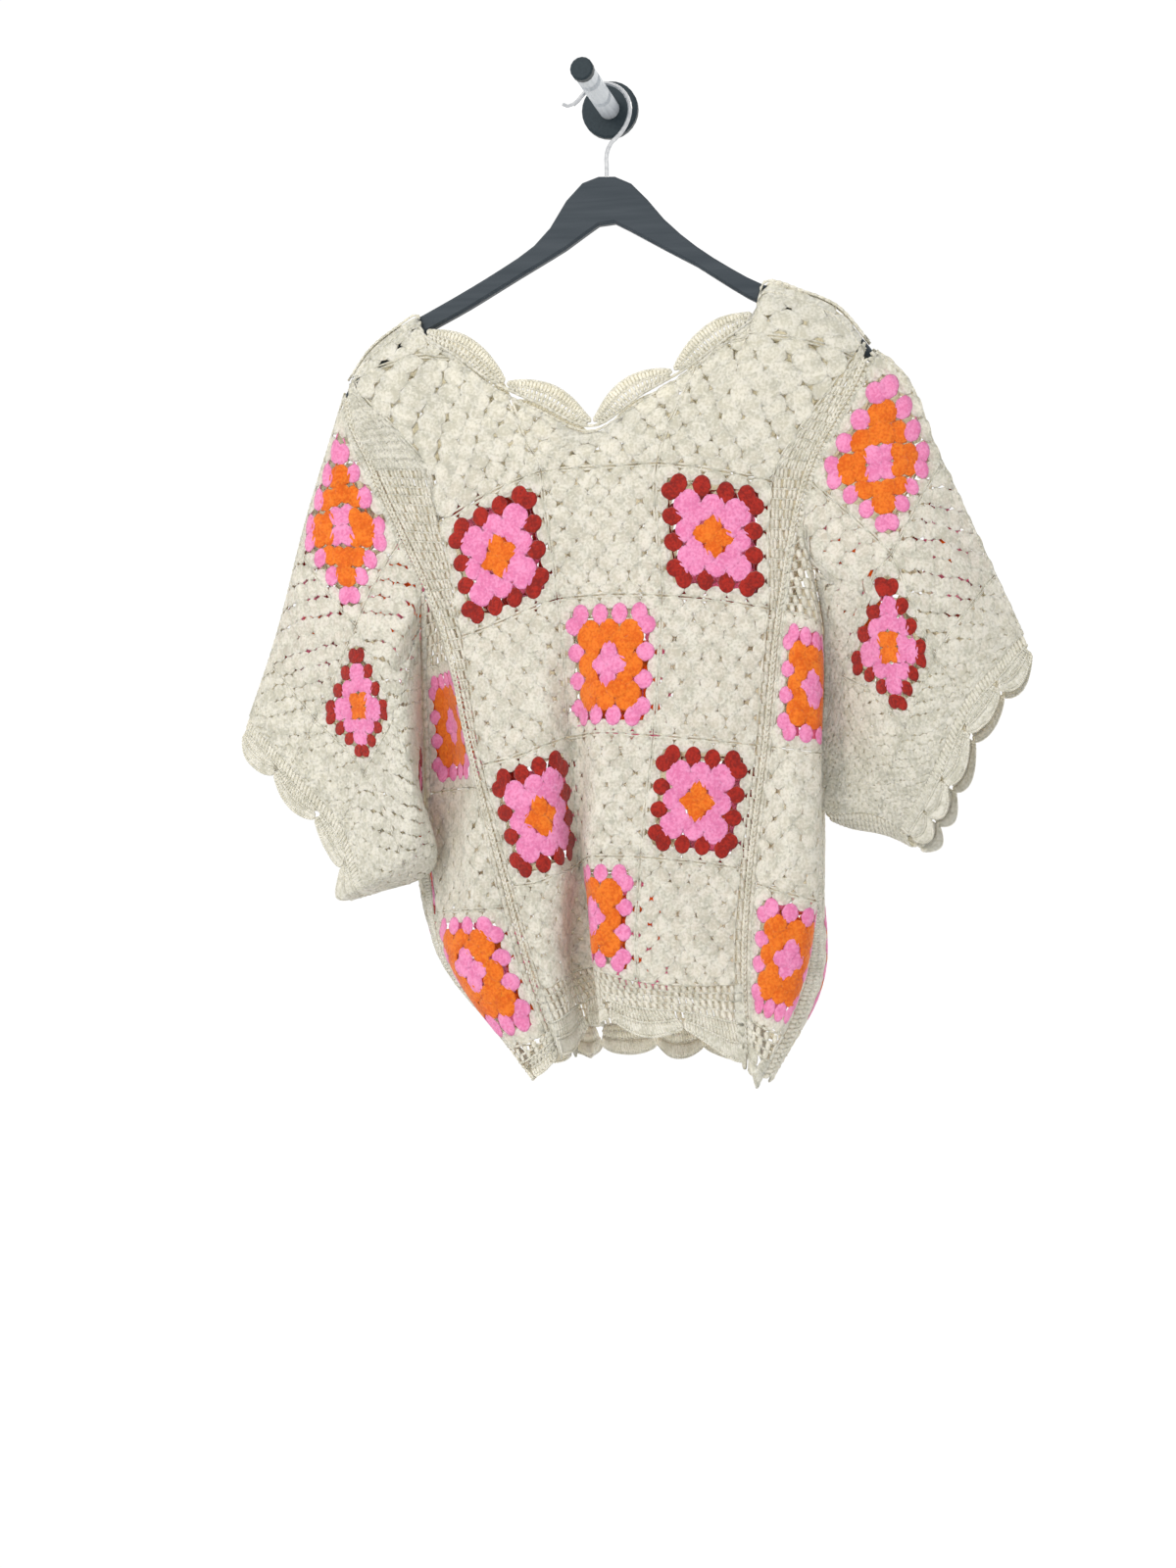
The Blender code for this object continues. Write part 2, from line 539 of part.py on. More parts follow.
def build_hanger():
    """The wooden hanger as one shaped board, and its wire hook."""
    path = [(bend.x, HANGER_Y, bend.z) for bend in HOOK]
    line, _ = evenly(path, WIRE_POINTS)
    tube("hanger_hook", line, WIRE_R, "aluminium", sides=6)
    stations = np.linspace(HANGER[0].x, HANGER[-1].x, HANGER_STATIONS)
    x = [rib.x for rib in HANGER]
    top = through(x, [[rib.top] for rib in HANGER], stations)[:, 0]
    low = through(x, [[rib.low] for rib in HANGER], stations)[:, 0]
    points, faces = [], []
    for px, high, below in zip(stations, top, low):
        nose = np.clip(min(px - stations[0], stations[-1] - px) / HANGER_NOSE, 0, 1)
        half = HANGER_T / 2 * (HANGER_END + (1 - HANGER_END) * math.sqrt(1 - (1 - nose) ** 2))
        inset = min(CHAMFER, (high - below) / 4, half / 2)
        ring = ((half, high - inset), (half - inset, high), (inset - half, high), (-half, high - inset),
                (-half, below + inset), (inset - half, below), (half - inset, below), (half, below + inset))
        points += [(px, HANGER_Y + y, z) for y, z in ring]
    for j in range(len(stations) - 1):
        for k in range(8):
            n = (k + 1) % 8
            faces.append((8 * j + k, 8 * j + n, 8 * j + 8 + n, 8 * j + 8 + k))
    faces.append(tuple(range(8)))
    faces.append(tuple(range(8 * len(stations) - 8, 8 * len(stations))))
    face_out(add_object("hanger_body", points, faces, "black_wood"))


def middle_columns(side):
    """The grid's columns over a middle panel, and which of their cells are gap cells."""
    columns, gaps = square_lines(0, 3, (0.5,) if side == "back" else ())
    return np.array([-1, *columns, 4]), [i + 1 for i in gaps]


def build_middle(side, cloth):
    """The yoke and the middle panel of three by four squares."""
    columns, column_gaps = middle_columns(side)
    rows, row_gaps = square_lines(0, 4)
    rows[0] = SLIT
    rows.append(EDGING_ROW - SLIT)
    holes = [(i, j) for i in column_gaps for j in row_gaps]
    wall(f"{side}_panel", cloth.place(columns[:, None], np.array(rows)), "cream_cotton", holes)
    holes = [(i, j) for i in (*column_gaps[:2], *column_gaps[-2:]) for j in YOKE_GAPS]
    yoke = cloth.place(columns[:, None], np.array(YOKE_ROWS))
    wall(f"{side}_yoke", yoke, "cream_cotton", holes)
    if side == "back":
        build_label(yoke[LABEL_CELLS])


def side_rows(cloth):
    """The grid's rows down a side column, and which of their cells are gap cells."""
    rows, gaps = square_lines(1, 4)
    return np.array([cloth.rows[0] + SIDE_APEX, *rows, EDGING_ROW - SLIT]), [j + 1 for j in gaps]


def build_side(name, cloth):
    """One side column, from the arm down to the hem edging."""
    columns, column_gaps = square_lines(0, 1)
    rows, row_gaps = side_rows(cloth)
    holes = [(i + 1, j) for i in column_gaps for j in row_gaps]
    columns = np.array([-1, *columns, 2])[:, None]
    wall(name, cloth.place(columns, rows), "cream_cotton", holes)


def sleeve_rows(cloth):
    """The grid's rows round a sleeve, and which of their cells are gap cells."""
    rows, gaps = square_lines(0, 3)
    return np.array([SLEEVE_FOLD, cloth.rows[1], *rows[1:], cloth.rows[-1] - LAST_ROW]), [j + 1 for j in gaps]


def build_sleeve(name, cloth):
    """One layer of a sleeve, from its top fold to the under-arm."""
    columns, column_gaps = square_lines(0, 2)
    columns = np.array([-1, *columns, CUFF_COLUMN])[:, None]
    rows, row_gaps = sleeve_rows(cloth)
    holes = [(i + 1, j) for i in column_gaps for j in row_gaps]
    wall(name, cloth.place(columns, rows), "cream_cotton", holes)


def scallop(position):
    """Height of a row of scallops, from 0 at each whole number to 1 between them."""
    return np.abs(np.sin(math.pi * np.asarray(position, float))) ** 0.7


def along(edge, keys, at):
    """Points on the straight runs between an edge's points, which lie at the keys."""
    return np.stack([np.interp(at, keys, edge[:, k]) for k in range(3)], axis=-1)


def build_hem(name, cloth, columns, scallops):
    """A hem edging: a plain band whose lower edge is scalloped."""
    top_row = np.full(len(columns), EDGING_ROW)
    keys = cloth.share(columns, top_row)
    share = np.linspace(keys[0], keys[-1], scallops * SCALLOP_STEPS + 1)
    at = np.interp(share, keys, columns)
    rise = HEM_SCALLOP * scallop(np.linspace(0, scallops, len(share)))
    last = cloth.rows[-1] - LAST_ROW
    top = along(cloth.place(columns, top_row + SLIT), keys, share)
    middle = cloth.place(at, (EDGING_ROW + last) / 2)
    low = cloth.place(at, last + rise)
    wall(name, np.stack([top, middle, low], axis=1), "edging_cotton")


def build_cuff(name, cloth, scallops):
    """A cuff edging: it carries on from a sleeve's border, scalloped outwards."""
    keys, _ = sleeve_rows(cloth)
    rows = np.linspace(keys[0], keys[-1], scallops * SCALLOP_STEPS + 1)
    width = np.interp(rows, cloth.rows, cloth.widths[:, 2])
    sleeve = cloth.place(np.full(len(keys), CUFF_COLUMN), keys)
    out = cloth.at(cloth.share(np.full_like(rows, CUFF_COLUMN), rows) + 1 / width, rows)
    base = along(sleeve, keys, rows)
    way = out - cloth.place(np.full_like(rows, CUFF_COLUMN), rows)
    reach = CUFF_BAND + CUFF_SCALLOP * scallop(np.linspace(0, scallops, len(rows)))
    end = base + way * reach[:, None]
    start = base + way * 2 * GAP
    wall(name, np.stack([start, (start + end) / 2, end], axis=1), "edging_cotton")


def build_neck(side, cloth):
    """A neck edging along the V, with two scallops on each slope."""
    columns, _ = middle_columns(side)
    edge = cloth.place(columns, np.full(len(columns), -1.0))
    lengths = np.concatenate([[0], np.cumsum(np.linalg.norm(np.diff(edge, axis=0), axis=1))])
    start, turn, end = (np.interp(x, edge[:, 0], lengths) for x in NECK_X)
    half = np.linspace(0, 1, 2 * SCALLOP_STEPS + 1)
    at = np.concatenate([start + half * (turn - start), (turn + half * (end - turn))[1:]])
    rise = NECK_SCALLOP * scallop(np.concatenate([2 * half, 2 * half[1:]]))
    base = along(edge, lengths, at)
    smooth = cloth.at(np.interp(at, lengths, cloth.share(columns, np.full(len(columns), -1.0))), -1.0)
    ahead = np.gradient(smooth, axis=0)
    up = np.stack([-ahead[:, 2], np.zeros(len(at)), ahead[:, 0]], axis=1)
    up /= np.linalg.norm(up, axis=1, keepdims=True)
    up[len(half) - 1] = (0, 0, 1)
    low, high = base + up * 2 * GAP, base + up * (NECK_BAND + rise)[:, None]
    wall(f"neck_edging_{side}", np.stack([low, (low + high) / 2, high], axis=1), "edging_cotton")


def build_seam(name, line):
    """A raised line of stitches that joins two panels."""
    tube(name, line, SEAM_R, "edging_cotton", sides=5)


def build_band(name, back_edge, front_edge, bow, margin=BAND_MARGIN):
    """A plain band of stitches between two lines of points, bowed outwards in its middle."""
    wide = np.linalg.norm(front_edge - back_edge, axis=1, keepdims=True)
    across = []
    for w in (margin / wide, 0.5, 1 - margin / wide):
        bulge = np.array(bow) * 4 * w * (1 - w)
        across.append(back_edge * (1 - w) + front_edge * w + bulge)
    wall(name, np.stack(across, axis=1), "edging_cotton")


def build_label(points):
    """The blank label inside the back of the neck, on the yoke's own points."""
    points = points.copy()
    points[:, -1] = points[:, -2] * (1 - LABEL_END) + points[:, -1] * LABEL_END
    wall("neck_label", points, "label_cloth", thick=LABEL_T, lift=LABEL_LIFT)


def build_garment():
    """Every panel, seam and edging of the crochet top."""
    middles = {side: Cloth(sections, 3) for side, sections in (("back", BACK), ("front", FRONT))}
    tops = []
    for side, cloth in middles.items():
        columns, _ = middle_columns(side)
        build_middle(side, cloth)
        build_hem(f"hem_{side}", cloth, columns, HEM_SCALLOPS["middle"])
        build_neck(side, cloth)
        rows = np.linspace(SEAM_ROW, cloth.rows[-1] - SEAM_END, SEAM_POINTS)
        build_seam(f"seam_{side}_left", cloth.edge(0)(rows))
        build_seam(f"seam_{side}_right", cloth.edge(1)(rows))
        tops.append(cloth.place(columns, np.full(len(columns), -1.0)))
    for hand, ends in SHOULDERS.items():
        lines = [along(top, top[:, 0], np.linspace(*ends, SHOULDER_POINTS)) for top in tops]
        build_band(f"shoulder_{hand}", *lines, (0, 0, SHOULDER_BOW), SHOULDER_MARGIN)
    columns = np.array([-1, *square_lines(0, 1)[0], 2])
    for hand, share in (("left", 0), ("right", 1)):
        edges, arms = {}, {}
        armhole = ARMHOLES[hand]
        under = armhole[-1].body
        for side, middle in middles.items():
            name = f"{side}_{hand}"
            seam = middle.edge(share)
            cloth = Cloth(SIDES[name], 1, start=seam, outer=MEET)
            build_side(f"side_{name}", cloth)
            build_hem(f"hem_{name}", cloth, columns, HEM_SCALLOPS["side"])
            line = armhole_line(armhole, seam, cloth)
            sleeve = Cloth(SLEEVES[name], 2, start=line, inner=ARM_EDGE)
            build_sleeve(f"sleeve_{name}", sleeve)
            build_cuff(f"cuff_{name}", sleeve, CUFF_SCALLOPS)
            edges[side] = cloth.edge(1)(np.linspace(under + BAND_ROW, cloth.rows[-1], BAND_POINTS))
            arms[side] = sleeve.at(np.linspace(*ARM_BAND, ARM_BAND_POINTS), sleeve.rows[-1])
        outwards = -BAND_BOW if hand == "left" else BAND_BOW
        build_band(f"side_band_{hand}", edges["back"], edges["front"], (outwards, 0, 0))
        build_band(f"under_arm_band_{hand}", arms["back"], arms["front"], (0, 0, -BAND_BOW), ARM_BAND_MARGIN)


def armhole_line(armhole, seam, side_cloth):
    """The body's edge that a sleeve joins, as a function of the sleeve's row."""
    turns, bodies = [t.sleeve for t in armhole], [t.body for t in armhole]
    rows, _ = side_rows(side_cloth)
    outer = side_cloth.edge(1)(rows)
    apex = side_cloth.rows[0]

    def line(row):
        body = np.interp(row, turns, bodies)
        step = np.clip((body - apex) / ARMHOLE_TURN, 0, 1)[:, None]
        return seam(np.minimum(body, apex)) * (1 - step) + along(outer, rows, body) * step

    return line


def main():
    for old in list(bpy.data.objects):
        bpy.data.objects.remove(old, do_unlink=True)
    build_hook()
    build_hanger()
    build_garment()


main()
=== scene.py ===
"""The looks of a crochet granny-square top on a hanger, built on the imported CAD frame.

Lengths are millimetres until a mesh is made. Each panel is a surface through the same sections as
its CAD wall. On it lie the crochet's stitches: soft pads for the squares' clusters, and strands.
"""

from collections import namedtuple
import math

import bpy
import numpy as np
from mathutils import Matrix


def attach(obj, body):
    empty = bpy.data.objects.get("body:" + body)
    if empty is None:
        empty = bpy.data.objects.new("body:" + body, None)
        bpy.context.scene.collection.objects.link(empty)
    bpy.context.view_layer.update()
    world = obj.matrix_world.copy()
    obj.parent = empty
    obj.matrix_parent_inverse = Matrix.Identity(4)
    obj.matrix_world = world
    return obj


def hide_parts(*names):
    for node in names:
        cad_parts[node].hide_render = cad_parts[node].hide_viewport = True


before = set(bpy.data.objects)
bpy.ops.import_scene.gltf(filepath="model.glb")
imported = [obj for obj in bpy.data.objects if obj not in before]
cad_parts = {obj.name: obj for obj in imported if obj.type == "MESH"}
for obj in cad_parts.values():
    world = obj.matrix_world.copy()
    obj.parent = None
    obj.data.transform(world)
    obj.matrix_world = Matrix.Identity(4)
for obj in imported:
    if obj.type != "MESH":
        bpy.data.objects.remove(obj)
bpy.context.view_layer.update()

MM = 0.001
EDGE = 2.4  # margin that a cloth's side edge keeps
ARM_EDGE = 3.2  # margin at an armhole
MEET = 1.1  # margin where a side column meets a sleeve or a band
MOST_LEAN = 4.5  # most that a margin grows where the sections lean
LINE_POINTS = 121  # points along each section
EDGING_ROW = 4.12  # row of cloth where the hem's edging starts
HEM_SCALLOP = 0.12  # height of a scallop over its band, in rows of cloth
SIDE_RISE = 0.3  # share of that height at the side columns
CUFF_COLUMN = 2.4  # column of a sleeve where the cuff starts
CUFF_ROWS = 9.0  # depth of the cuff's plain rows
CUFF_BAND = 16.0  # depth of the cuff between its scallops
CUFF_SCALLOP = 11.0
NECK_SCALLOP = 15.0
NECK_X = (-148.0, -3.0, 131.0)  # where the neck's edging starts, turns and ends along X
NECK_MARGIN = 3.0  # from the neck's edge to the yoke's squares
YOKE_PITCH = 108.0  # depth of one square above the panels' first row
SEAM_STITCH = 4.2  # length of a stitch of the raised seams
SHOULDER_BULGE, BAND_BULGE = 0.6, 3  # how far the bands bulge out
LABEL_COLUMNS, LABEL_ROWS = (1.27, 1.665), (-0.92, -0.583)
LABEL_LIFT = 2.6

# One line across a panel. row counts squares down the panel from the yoke, left and right are the
# plain bands beside the squares, and x, y and z hold the line's stations from left to right.
Section = namedtuple("Section", "row left right x y z")

BACK = (
    (-1, 8, 8, (-216, -194, -173, -154, -150, -120, -88, -48, -3, 38, 75, 106, 133, 137, 170, 194, 223),
     (-54, -54, -54, -54, -59, -60, -60, -61, -62, -61, -60, -60, -59, -54, -54, -54, -54),
     (-231, -201, -186, -176, -190, -212, -235, -255, -275, -250, -230, -208, -187, -162, -171, -182, -215)),
    (-0.92, 10, 8, (-214, -192, -170, -151, -146, -117, -86, -47, -3, 37, 73, 103, 130, 135, 168, 192, 220),
     (-59, -59, -59, -59, -60, -61, -62, -63, -64, -63, -62, -61, -60, -59, -59, -59, -59),
     (-241, -211, -196, -187, -197, -219, -242, -262, -280, -257, -237, -215, -194, -174, -181, -192, -225)),
    (0, 52, 26, (-190, -137, -87, -37, 12, 60, 108, 174), (-64, -70, -74, -76, -76, -76, -74, -66),
     (-306, -308, -309, -309, -309, -309, -310, -317)),
    (1, 16, 8, (-129, -85, -36, -8, 20, 60, 105, 153), (-77, -84, -86, -82, -84, -86, -85, -79),
     (-432, -428, -419, -416, -415, -417, -421, -430)),
    (2, 8, 7, (-101, -62, -33, -14, 5, 50, 98, 142), (-84, -92, -92, -72, -90, -94, -93, -85),
     (-540, -538, -532, -529, -527, -529, -533, -538)),
    (3, 7, 7, (-73, -46, -28, -15, 3, 36, 85, 130), (-87, -95, -93, -58, -93, -97, -95, -87),
     (-640, -641, -636, -630, -625, -626, -630, -636)),
    (4, 7, 7, (-44, -32, -25, -16, -5, 8, 40, 82, 126), (-90, -96, -90, -50, -52, -94, -99, -97, -88),
     (-734, -733, -728, -722, -719, -719, -726, -729, -728)),
    (4.5, 7, 7, (-27, -24, -20, -12, 0, 12, 42, 84, 129), (-86, -92, -84, -52, -52, -92, -98, -96, -86),
     (-780, -781, -778, -770, -762, -755, -762, -764, -786)),
)

FRONT = (
    (-1, 8, 8, (-216, -194, -173, -154, -150, -120, -88, -48, -3, 38, 75, 106, 133, 137, 170, 194, 223),
     (-42, -42, -42, -42, -37, -36, -35, -35, -34, -35, -35, -36, -37, -42, -42, -42, -42),
     (-231, -201, -186, -176, -191, -219, -246, -270, -292, -266, -242, -216, -189, -162, -171, -182, -215)),
    (-0.92, 10, 8, (-214, -192, -170, -151, -146, -117, -86, -47, -3, 37, 73, 103, 130, 135, 168, 192, 220),
     (-37, -37, -37, -37, -36, -35, -34, -33, -32, -33, -34, -35, -36, -37, -37, -37, -37),
     (-241, -211, -196, -187, -198, -226, -252, -276, -297, -272, -248, -222, -196, -174, -181, -192, -225)),
    (0, 45, 30, (-190, -137, -87, -37, 12, 60, 108, 174), (-34, -30, -27, -26, -26, -27, -29, -33),
     (-306, -312, -318, -321, -322, -320, -316, -317)),
    (1, 14, 10, (-129, -85, -42, -8, 20, 60, 105, 153), (-27, -22, -20, -21, -22, -19, -21, -26),
     (-432, -431, -430, -430, -430, -430, -430, -430)),
    (2, 8, 8, (-101, -60, -30, -8, 18, 55, 98, 142), (-24, -18, -16, -24, -18, -15, -17, -23),
     (-540, -539, -538, -538, -538, -538, -538, -538)),
    (3, 7, 7, (-75, -42, -24, -6, 14, 40, 62, 95, 130), (-22, -16, -17, -33, -18, -14, -24, -15, -22),
     (-642, -642, -642, -642, -642, -642, -642, -642, -640)),
    (4, 7, 7, (-46, -32, -22, -8, 10, 36, 62, 90, 126), (-22, -16, -20, -38, -18, -14, -32, -14, -22),
     (-746, -746, -746, -745, -745, -745, -745, -744, -742)),
    (4.5, 7, 7, (-30, -24, -18, -6, 10, 36, 62, 90, 128), (-26, -18, -22, -40, -20, -14, -34, -14, -24),
     (-788, -788, -788, -787, -786, -786, -786, -787, -788)),
)

# The side columns run from a raised seam round to the side band, or to the sleeve above the arm.
SIDES = {"back_left": (
    (0.75, 2, 2, (-139, -142, -145), (-77, -77, -76), (-405, -407, -409)),
    (1, 5, 5, (-129, -136, -150), (-77, -68, -60), (-432, -434, -440)),
    (2, 6, 6, (-101, -110, -126, -152), (-84, -68, -50, -44), (-540, -540, -541, -545)),
    (3, 6, 6, (-73, -95, -114, -146), (-87, -92, -74, -43), (-640, -642, -645, -650)),
    (4, 6, 6, (-44, -72, -100, -114), (-90, -99, -90, -58), (-734, -736, -737, -736)),
    (4.5, 6, 6, (-27, -38, -50, -56), (-86, -96, -86, -56), (-780, -794, -803, -799)),
), "back_right": (
    (0.5, 2, 2, (166, 169, 172), (-76, -77, -77), (-360, -361, -362)),
    (1, 5, 5, (153, 170, 181, 184), (-79, -87, -83, -60), (-430, -433, -437, -440)),
    (2, 6, 6, (142, 168, 183, 178), (-85, -93, -86, -48), (-538, -541, -543, -545)),
    (3, 6, 6, (130, 160, 182, 176), (-87, -98, -88, -50), (-636, -644, -650, -654)),
    (4, 6, 6, (126, 146, 164, 167), (-88, -97, -90, -72), (-728, -738, -742, -742)),
    (4.5, 6, 6, (129, 133, 138, 139), (-86, -94, -92, -84), (-786, -793, -801, -803)),
), "front_left": (
    (0.75, 2, 2, (-139, -142, -145), (-28, -28, -29), (-405, -407, -409)),
    (1, 5, 5, (-129, -142, -154), (-27, -24, -34), (-432, -434, -440)),
    (2, 6, 6, (-101, -130, -152, -156), (-24, -16, -20, -32), (-540, -540, -541, -545)),
    (3, 6, 6, (-75, -120, -164, -152), (-22, -14, -20, -30), (-642, -646, -652, -652)),
    (4, 6, 6, (-46, -80, -116, -122), (-22, -13, -22, -44), (-746, -744, -738, -736)),
    (4.5, 6, 6, (-30, -40, -54, -62), (-26, -16, -24, -42), (-788, -796, -800, -798)),
), "front_right": (
    (0.5, 2, 2, (166, 169, 172), (-30, -29, -29), (-360, -361, -362)),
    (1, 5, 5, (153, 172, 183, 186), (-26, -20, -22, -36), (-430, -433, -437, -440)),
    (2, 6, 6, (142, 168, 182, 180), (-23, -15, -18, -32), (-538, -541, -543, -545)),
    (3, 6, 6, (130, 160, 182, 180), (-22, -14, -20, -36), (-640, -644, -650, -654)),
    (4, 6, 6, (126, 154, 176, 177), (-22, -14, -30, -58), (-742, -744, -744, -742)),
    (4.5, 6, 6, (128, 138, 146, 146), (-24, -22, -46, -70), (-788, -796, -801, -800)),
)}

# A sleeve's rows run round the arm from its top fold to the under-arm, and its stations go from the
# body out to the cuff, whose plain border is the right band.
SLEEVES = {"back_left": (
    (0, 6, 42, (-221, -250, -282, -314), (-50, -49, -47, -46), (-233, -330, -446, -534)),
    (0.12, 6, 42, (-218, -247, -278, -310), (-58, -57, -55, -53), (-246, -338, -452, -540)),
    (0.5, 6, 42, (-206, -234, -262, -294), (-66, -68, -62, -60), (-283, -366, -468, -555)),
    (1, 6, 40, (-173, -208, -238, -271), (-75, -78, -68, -66), (-328, -402, -490, -576)),
    (2, 6, 38, (-148, -170, -196, -224), (-80, -95, -84, -76), (-386, -480, -566, -622)),
    (3, 6, 30, (-152, -147, -145, -205), (-58, -94, -97, -86), (-470, -540, -624, -662)),
    (3.5, 6, 24, (-155, -151, -134, -198), (-48, -62, -70, -66), (-530, -580, -634, -662)),
    (4, 6, 20, (-153, -158, -172, -202), (-42, -44, -46, -52), (-604, -628, -648, -662)),
), "back_right": (
    (0, 6, 42, (228, 250, 278, 326, 354), (-50, -49, -48, -47, -46), (-214, -232, -303, -410, -472)),
    (0.12, 6, 42, (221, 241, 270, 320, 349), (-59, -58, -57, -56, -54), (-229, -247, -314, -418, -478)),
    (0.5, 6, 42, (196, 256, 306, 336), (-66, -72, -74, -66), (-268, -344, -436, -495)),
    (1, 6, 40, (175, 234, 281, 316), (-74, -85, -87, -74), (-326, -384, -458, -516)),
    (2, 6, 40, (184, 202, 246, 288), (-56, -58, -78, -66), (-424, -462, -522, -576)),
    (3.3, 6, 30, (174, 198, 230, 260), (-43, -48, -52, -49), (-580, -588, -594, -616)),
), "front_left": (
    (0, 6, 42, (-221, -250, -282, -314), (-46, -45, -43, -42), (-233, -330, -446, -534)),
    (0.12, 6, 42, (-218, -248, -279, -311), (-38, -37, -36, -36), (-246, -338, -452, -540)),
    (0.5, 6, 42, (-206, -238, -266, -296), (-35, -30, -28, -29), (-283, -368, -470, -553)),
    (1, 6, 40, (-173, -214, -244, -276), (-32, -26, -24, -26), (-328, -402, -492, -572)),
    (2, 6, 38, (-156, -186, -212, -240), (-32, -18, -17, -22), (-400, -490, -560, -612)),
    (4, 6, 24, (-158, -166, -180, -210), (-30, -28, -28, -36), (-600, -622, -642, -656)),
), "front_right": (
    (0, 6, 42, (228, 250, 278, 326, 354), (-46, -45, -44, -43, -42), (-214, -232, -303, -410, -472)),
    (0.12, 6, 42, (221, 241, 271, 321, 350), (-37, -37, -36, -35, -36), (-229, -247, -314, -418, -478)),
    (0.5, 6, 42, (196, 258, 308, 338), (-35, -29, -27, -30), (-268, -346, -438, -498)),
    (1, 6, 40, (175, 236, 284, 318), (-31, -25, -22, -26), (-326, -386, -460, -522)),
    (2, 6, 40, (186, 210, 252, 293), (-32, -20, -18, -26), (-424, -468, -528, -582)),
    (3.3, 6, 30, (178, 202, 236, 266), (-30, -32, -34, -36), (-586, -602, -610, -624)),
)}

# Where each shoulder's band starts and ends along X.
SHOULDERS = {"left": (-211, -170), "right": (172, 217)}

# The sleeve's rows that meet the body's rows, from the shoulder to the under-arm.
Armhole = namedtuple("Armhole", "sleeve body")
ARMHOLES = {
    "left": Armhole((0, 0.12, 0.5, 1, 2, 3, 3.5, 4), (-1, -0.85, -0.33, 0.18, 0.8, 1.4, 1.95, 2.6)),
    "right": Armhole((0, 0.12, 0.5, 1, 1.27, 1.335, 2, 3.3), (-1, -0.85, -0.4, 0.15, 0.5, 0.69, 1.1, 2.4)),
}

# Colours of a square's rounds, from the middle outwards, by kind of square.
CREAM, PINK, ORANGE, RED, EDGING = range(5)
KINDS = {
    "cream": (CREAM, CREAM, CREAM, CREAM, CREAM),
    "red": (ORANGE, PINK, PINK, RED, CREAM),
    "orange": (PINK, ORANGE, ORANGE, PINK, CREAM),
}
# The rounds of a square, in shares of half its side: where the clusters start and end, how far along
# the side the corner clusters stand, and half of a cluster's width.
Round = namedtuple("Round", "inner outer reach half")
ROUNDS = (
    Round(0.02, 0.33, 0.00, 0.165),
    Round(0.23, 0.47, 0.22, 0.225),
    Round(0.39, 0.64, 0.40, 0.205),
    Round(0.59, 0.86, 0.58, 0.196),
    Round(0.81, 0.985, 0.78, 0.198),
)
# The last coloured round, and half of a cluster's width there in a coloured square.
RIM_ROUND, RIM_HALF = 4, 0.158

# The shape of one cluster: its steps from the middle of the square outwards, its width and height at
# each, and its outline across, as (place from side to side, height in mm) over its three posts. The
# first and the last ring are closed by CLUSTER_END.
CLUSTER_STEPS = (0.0, 0.12, 0.5, 0.88, 1.0)
CLUSTER_WIDTHS = (0.5, 0.7, 1.0, 0.74, 0.54)
CLUSTER_HEIGHTS = (0.8, 0.97, 1.0, 0.97, 0.75)
CLUSTER_RING = ((-1, 0.4), (-0.84, 0.66), (-0.36, 0.56), (0, 0.72), (0.36, 0.56), (0.84, 0.66), (1, 0.4),
                (0, -0.8))
CLUSTER_BOW = 0.03  # how far a cluster's ends bow out
CLUSTER_STRAY = 0.006  # spread of its place, in half squares
HEIGHT_SPREAD = 0.08
COLOURED_LIFT = 0.3  # mm that a coloured cluster stands higher
SHEAR_KEPT = 0.45  # share of the cloth's shear that the clusters follow
LEAST_INSIDE = 0.15  # share of a cluster that has to be inside a limit

# How the ends of a cluster and of a tube are closed, as corners of one ring.
CLUSTER_END = np.array([(7, 0, 1, 2), (7, 2, 3, 4), (7, 4, 5, 6)])
TUBE_END = np.array([(0, 1, 2, 3)])
TUBE_SWELL = 0.33  # how much wider a tube is at its middle

# Chained stitches: the share that each reaches over the next, then half its width, its thickness, its
# lift off the cloth and the height of its arch in mm.
Chain = namedtuple("Chain", "over width thick lift arch")
ROUND_CHAIN = Chain(0.05, 0.8, 0.7, -0.4, 0.2)
SQUARE_CHAIN = Chain(0.05, 1.2, 0.9, 0.1, 0.2)
ROW_CHAIN = Chain(0, 1.0, 0.8, 0.2, 0.1)
SCALLOP_CHAIN = Chain(0.06, 1.3, 1.1, 0.2, 0.3)
NECK_CHAIN = Chain(0.08, 1.6, 1.2, 0.1, 0.3)
YOKE_CHAIN = Chain(0.08, 1.4, 1.2, 0.1, 0.3)
FOLD_CHAIN = Chain(0.08, 1.5, 1.2, 0.1, 0.3)

# Plain rows of posts: the depth of a row and the width of a post in mm, how many posts stand in a
# group, and the yarn.
Rows = namedtuple("Rows", "deep wide group yarn")
GROUPED_ROWS = Rows(8.5, 3.6, 3, CREAM)
PLAIN_ROWS = Rows(8.5, 3.6, 0, CREAM)
BORDER_ROWS = Rows(6, 3.6, 0, CREAM)
FOOT_ROWS = Rows(6, 3.2, 0, CREAM)
EDGING_ROWS = Rows(7, 3.2, 0, EDGING)
BAND_ROWS = Rows(6, 3.4, 0, EDGING)
GROUP_SQUEEZE = 0.86  # how close the posts of a group stand
POST_TILT = 0.12  # lean of a post, in widths of a post
GROUPED_POST, PLAIN_POST = 0.46, 0.56  # half of a post's width, as a share of its place
TAPERED, EVEN = (0.72, 0.62), (0.92, 0.86)  # widths of a strand's two ends

# Which squares are coloured, by panel: (column, row) to kind. The rest are cream.
MIDDLE_COLOURS = {
    (0, 0): "red", (2, 0): "red", (1, 1): "orange", (0, 2): "red", (2, 2): "red", (1, 3): "orange",
}
SIDE_COLOURS = {(0, 0): "orange", (0, 2): "orange"}
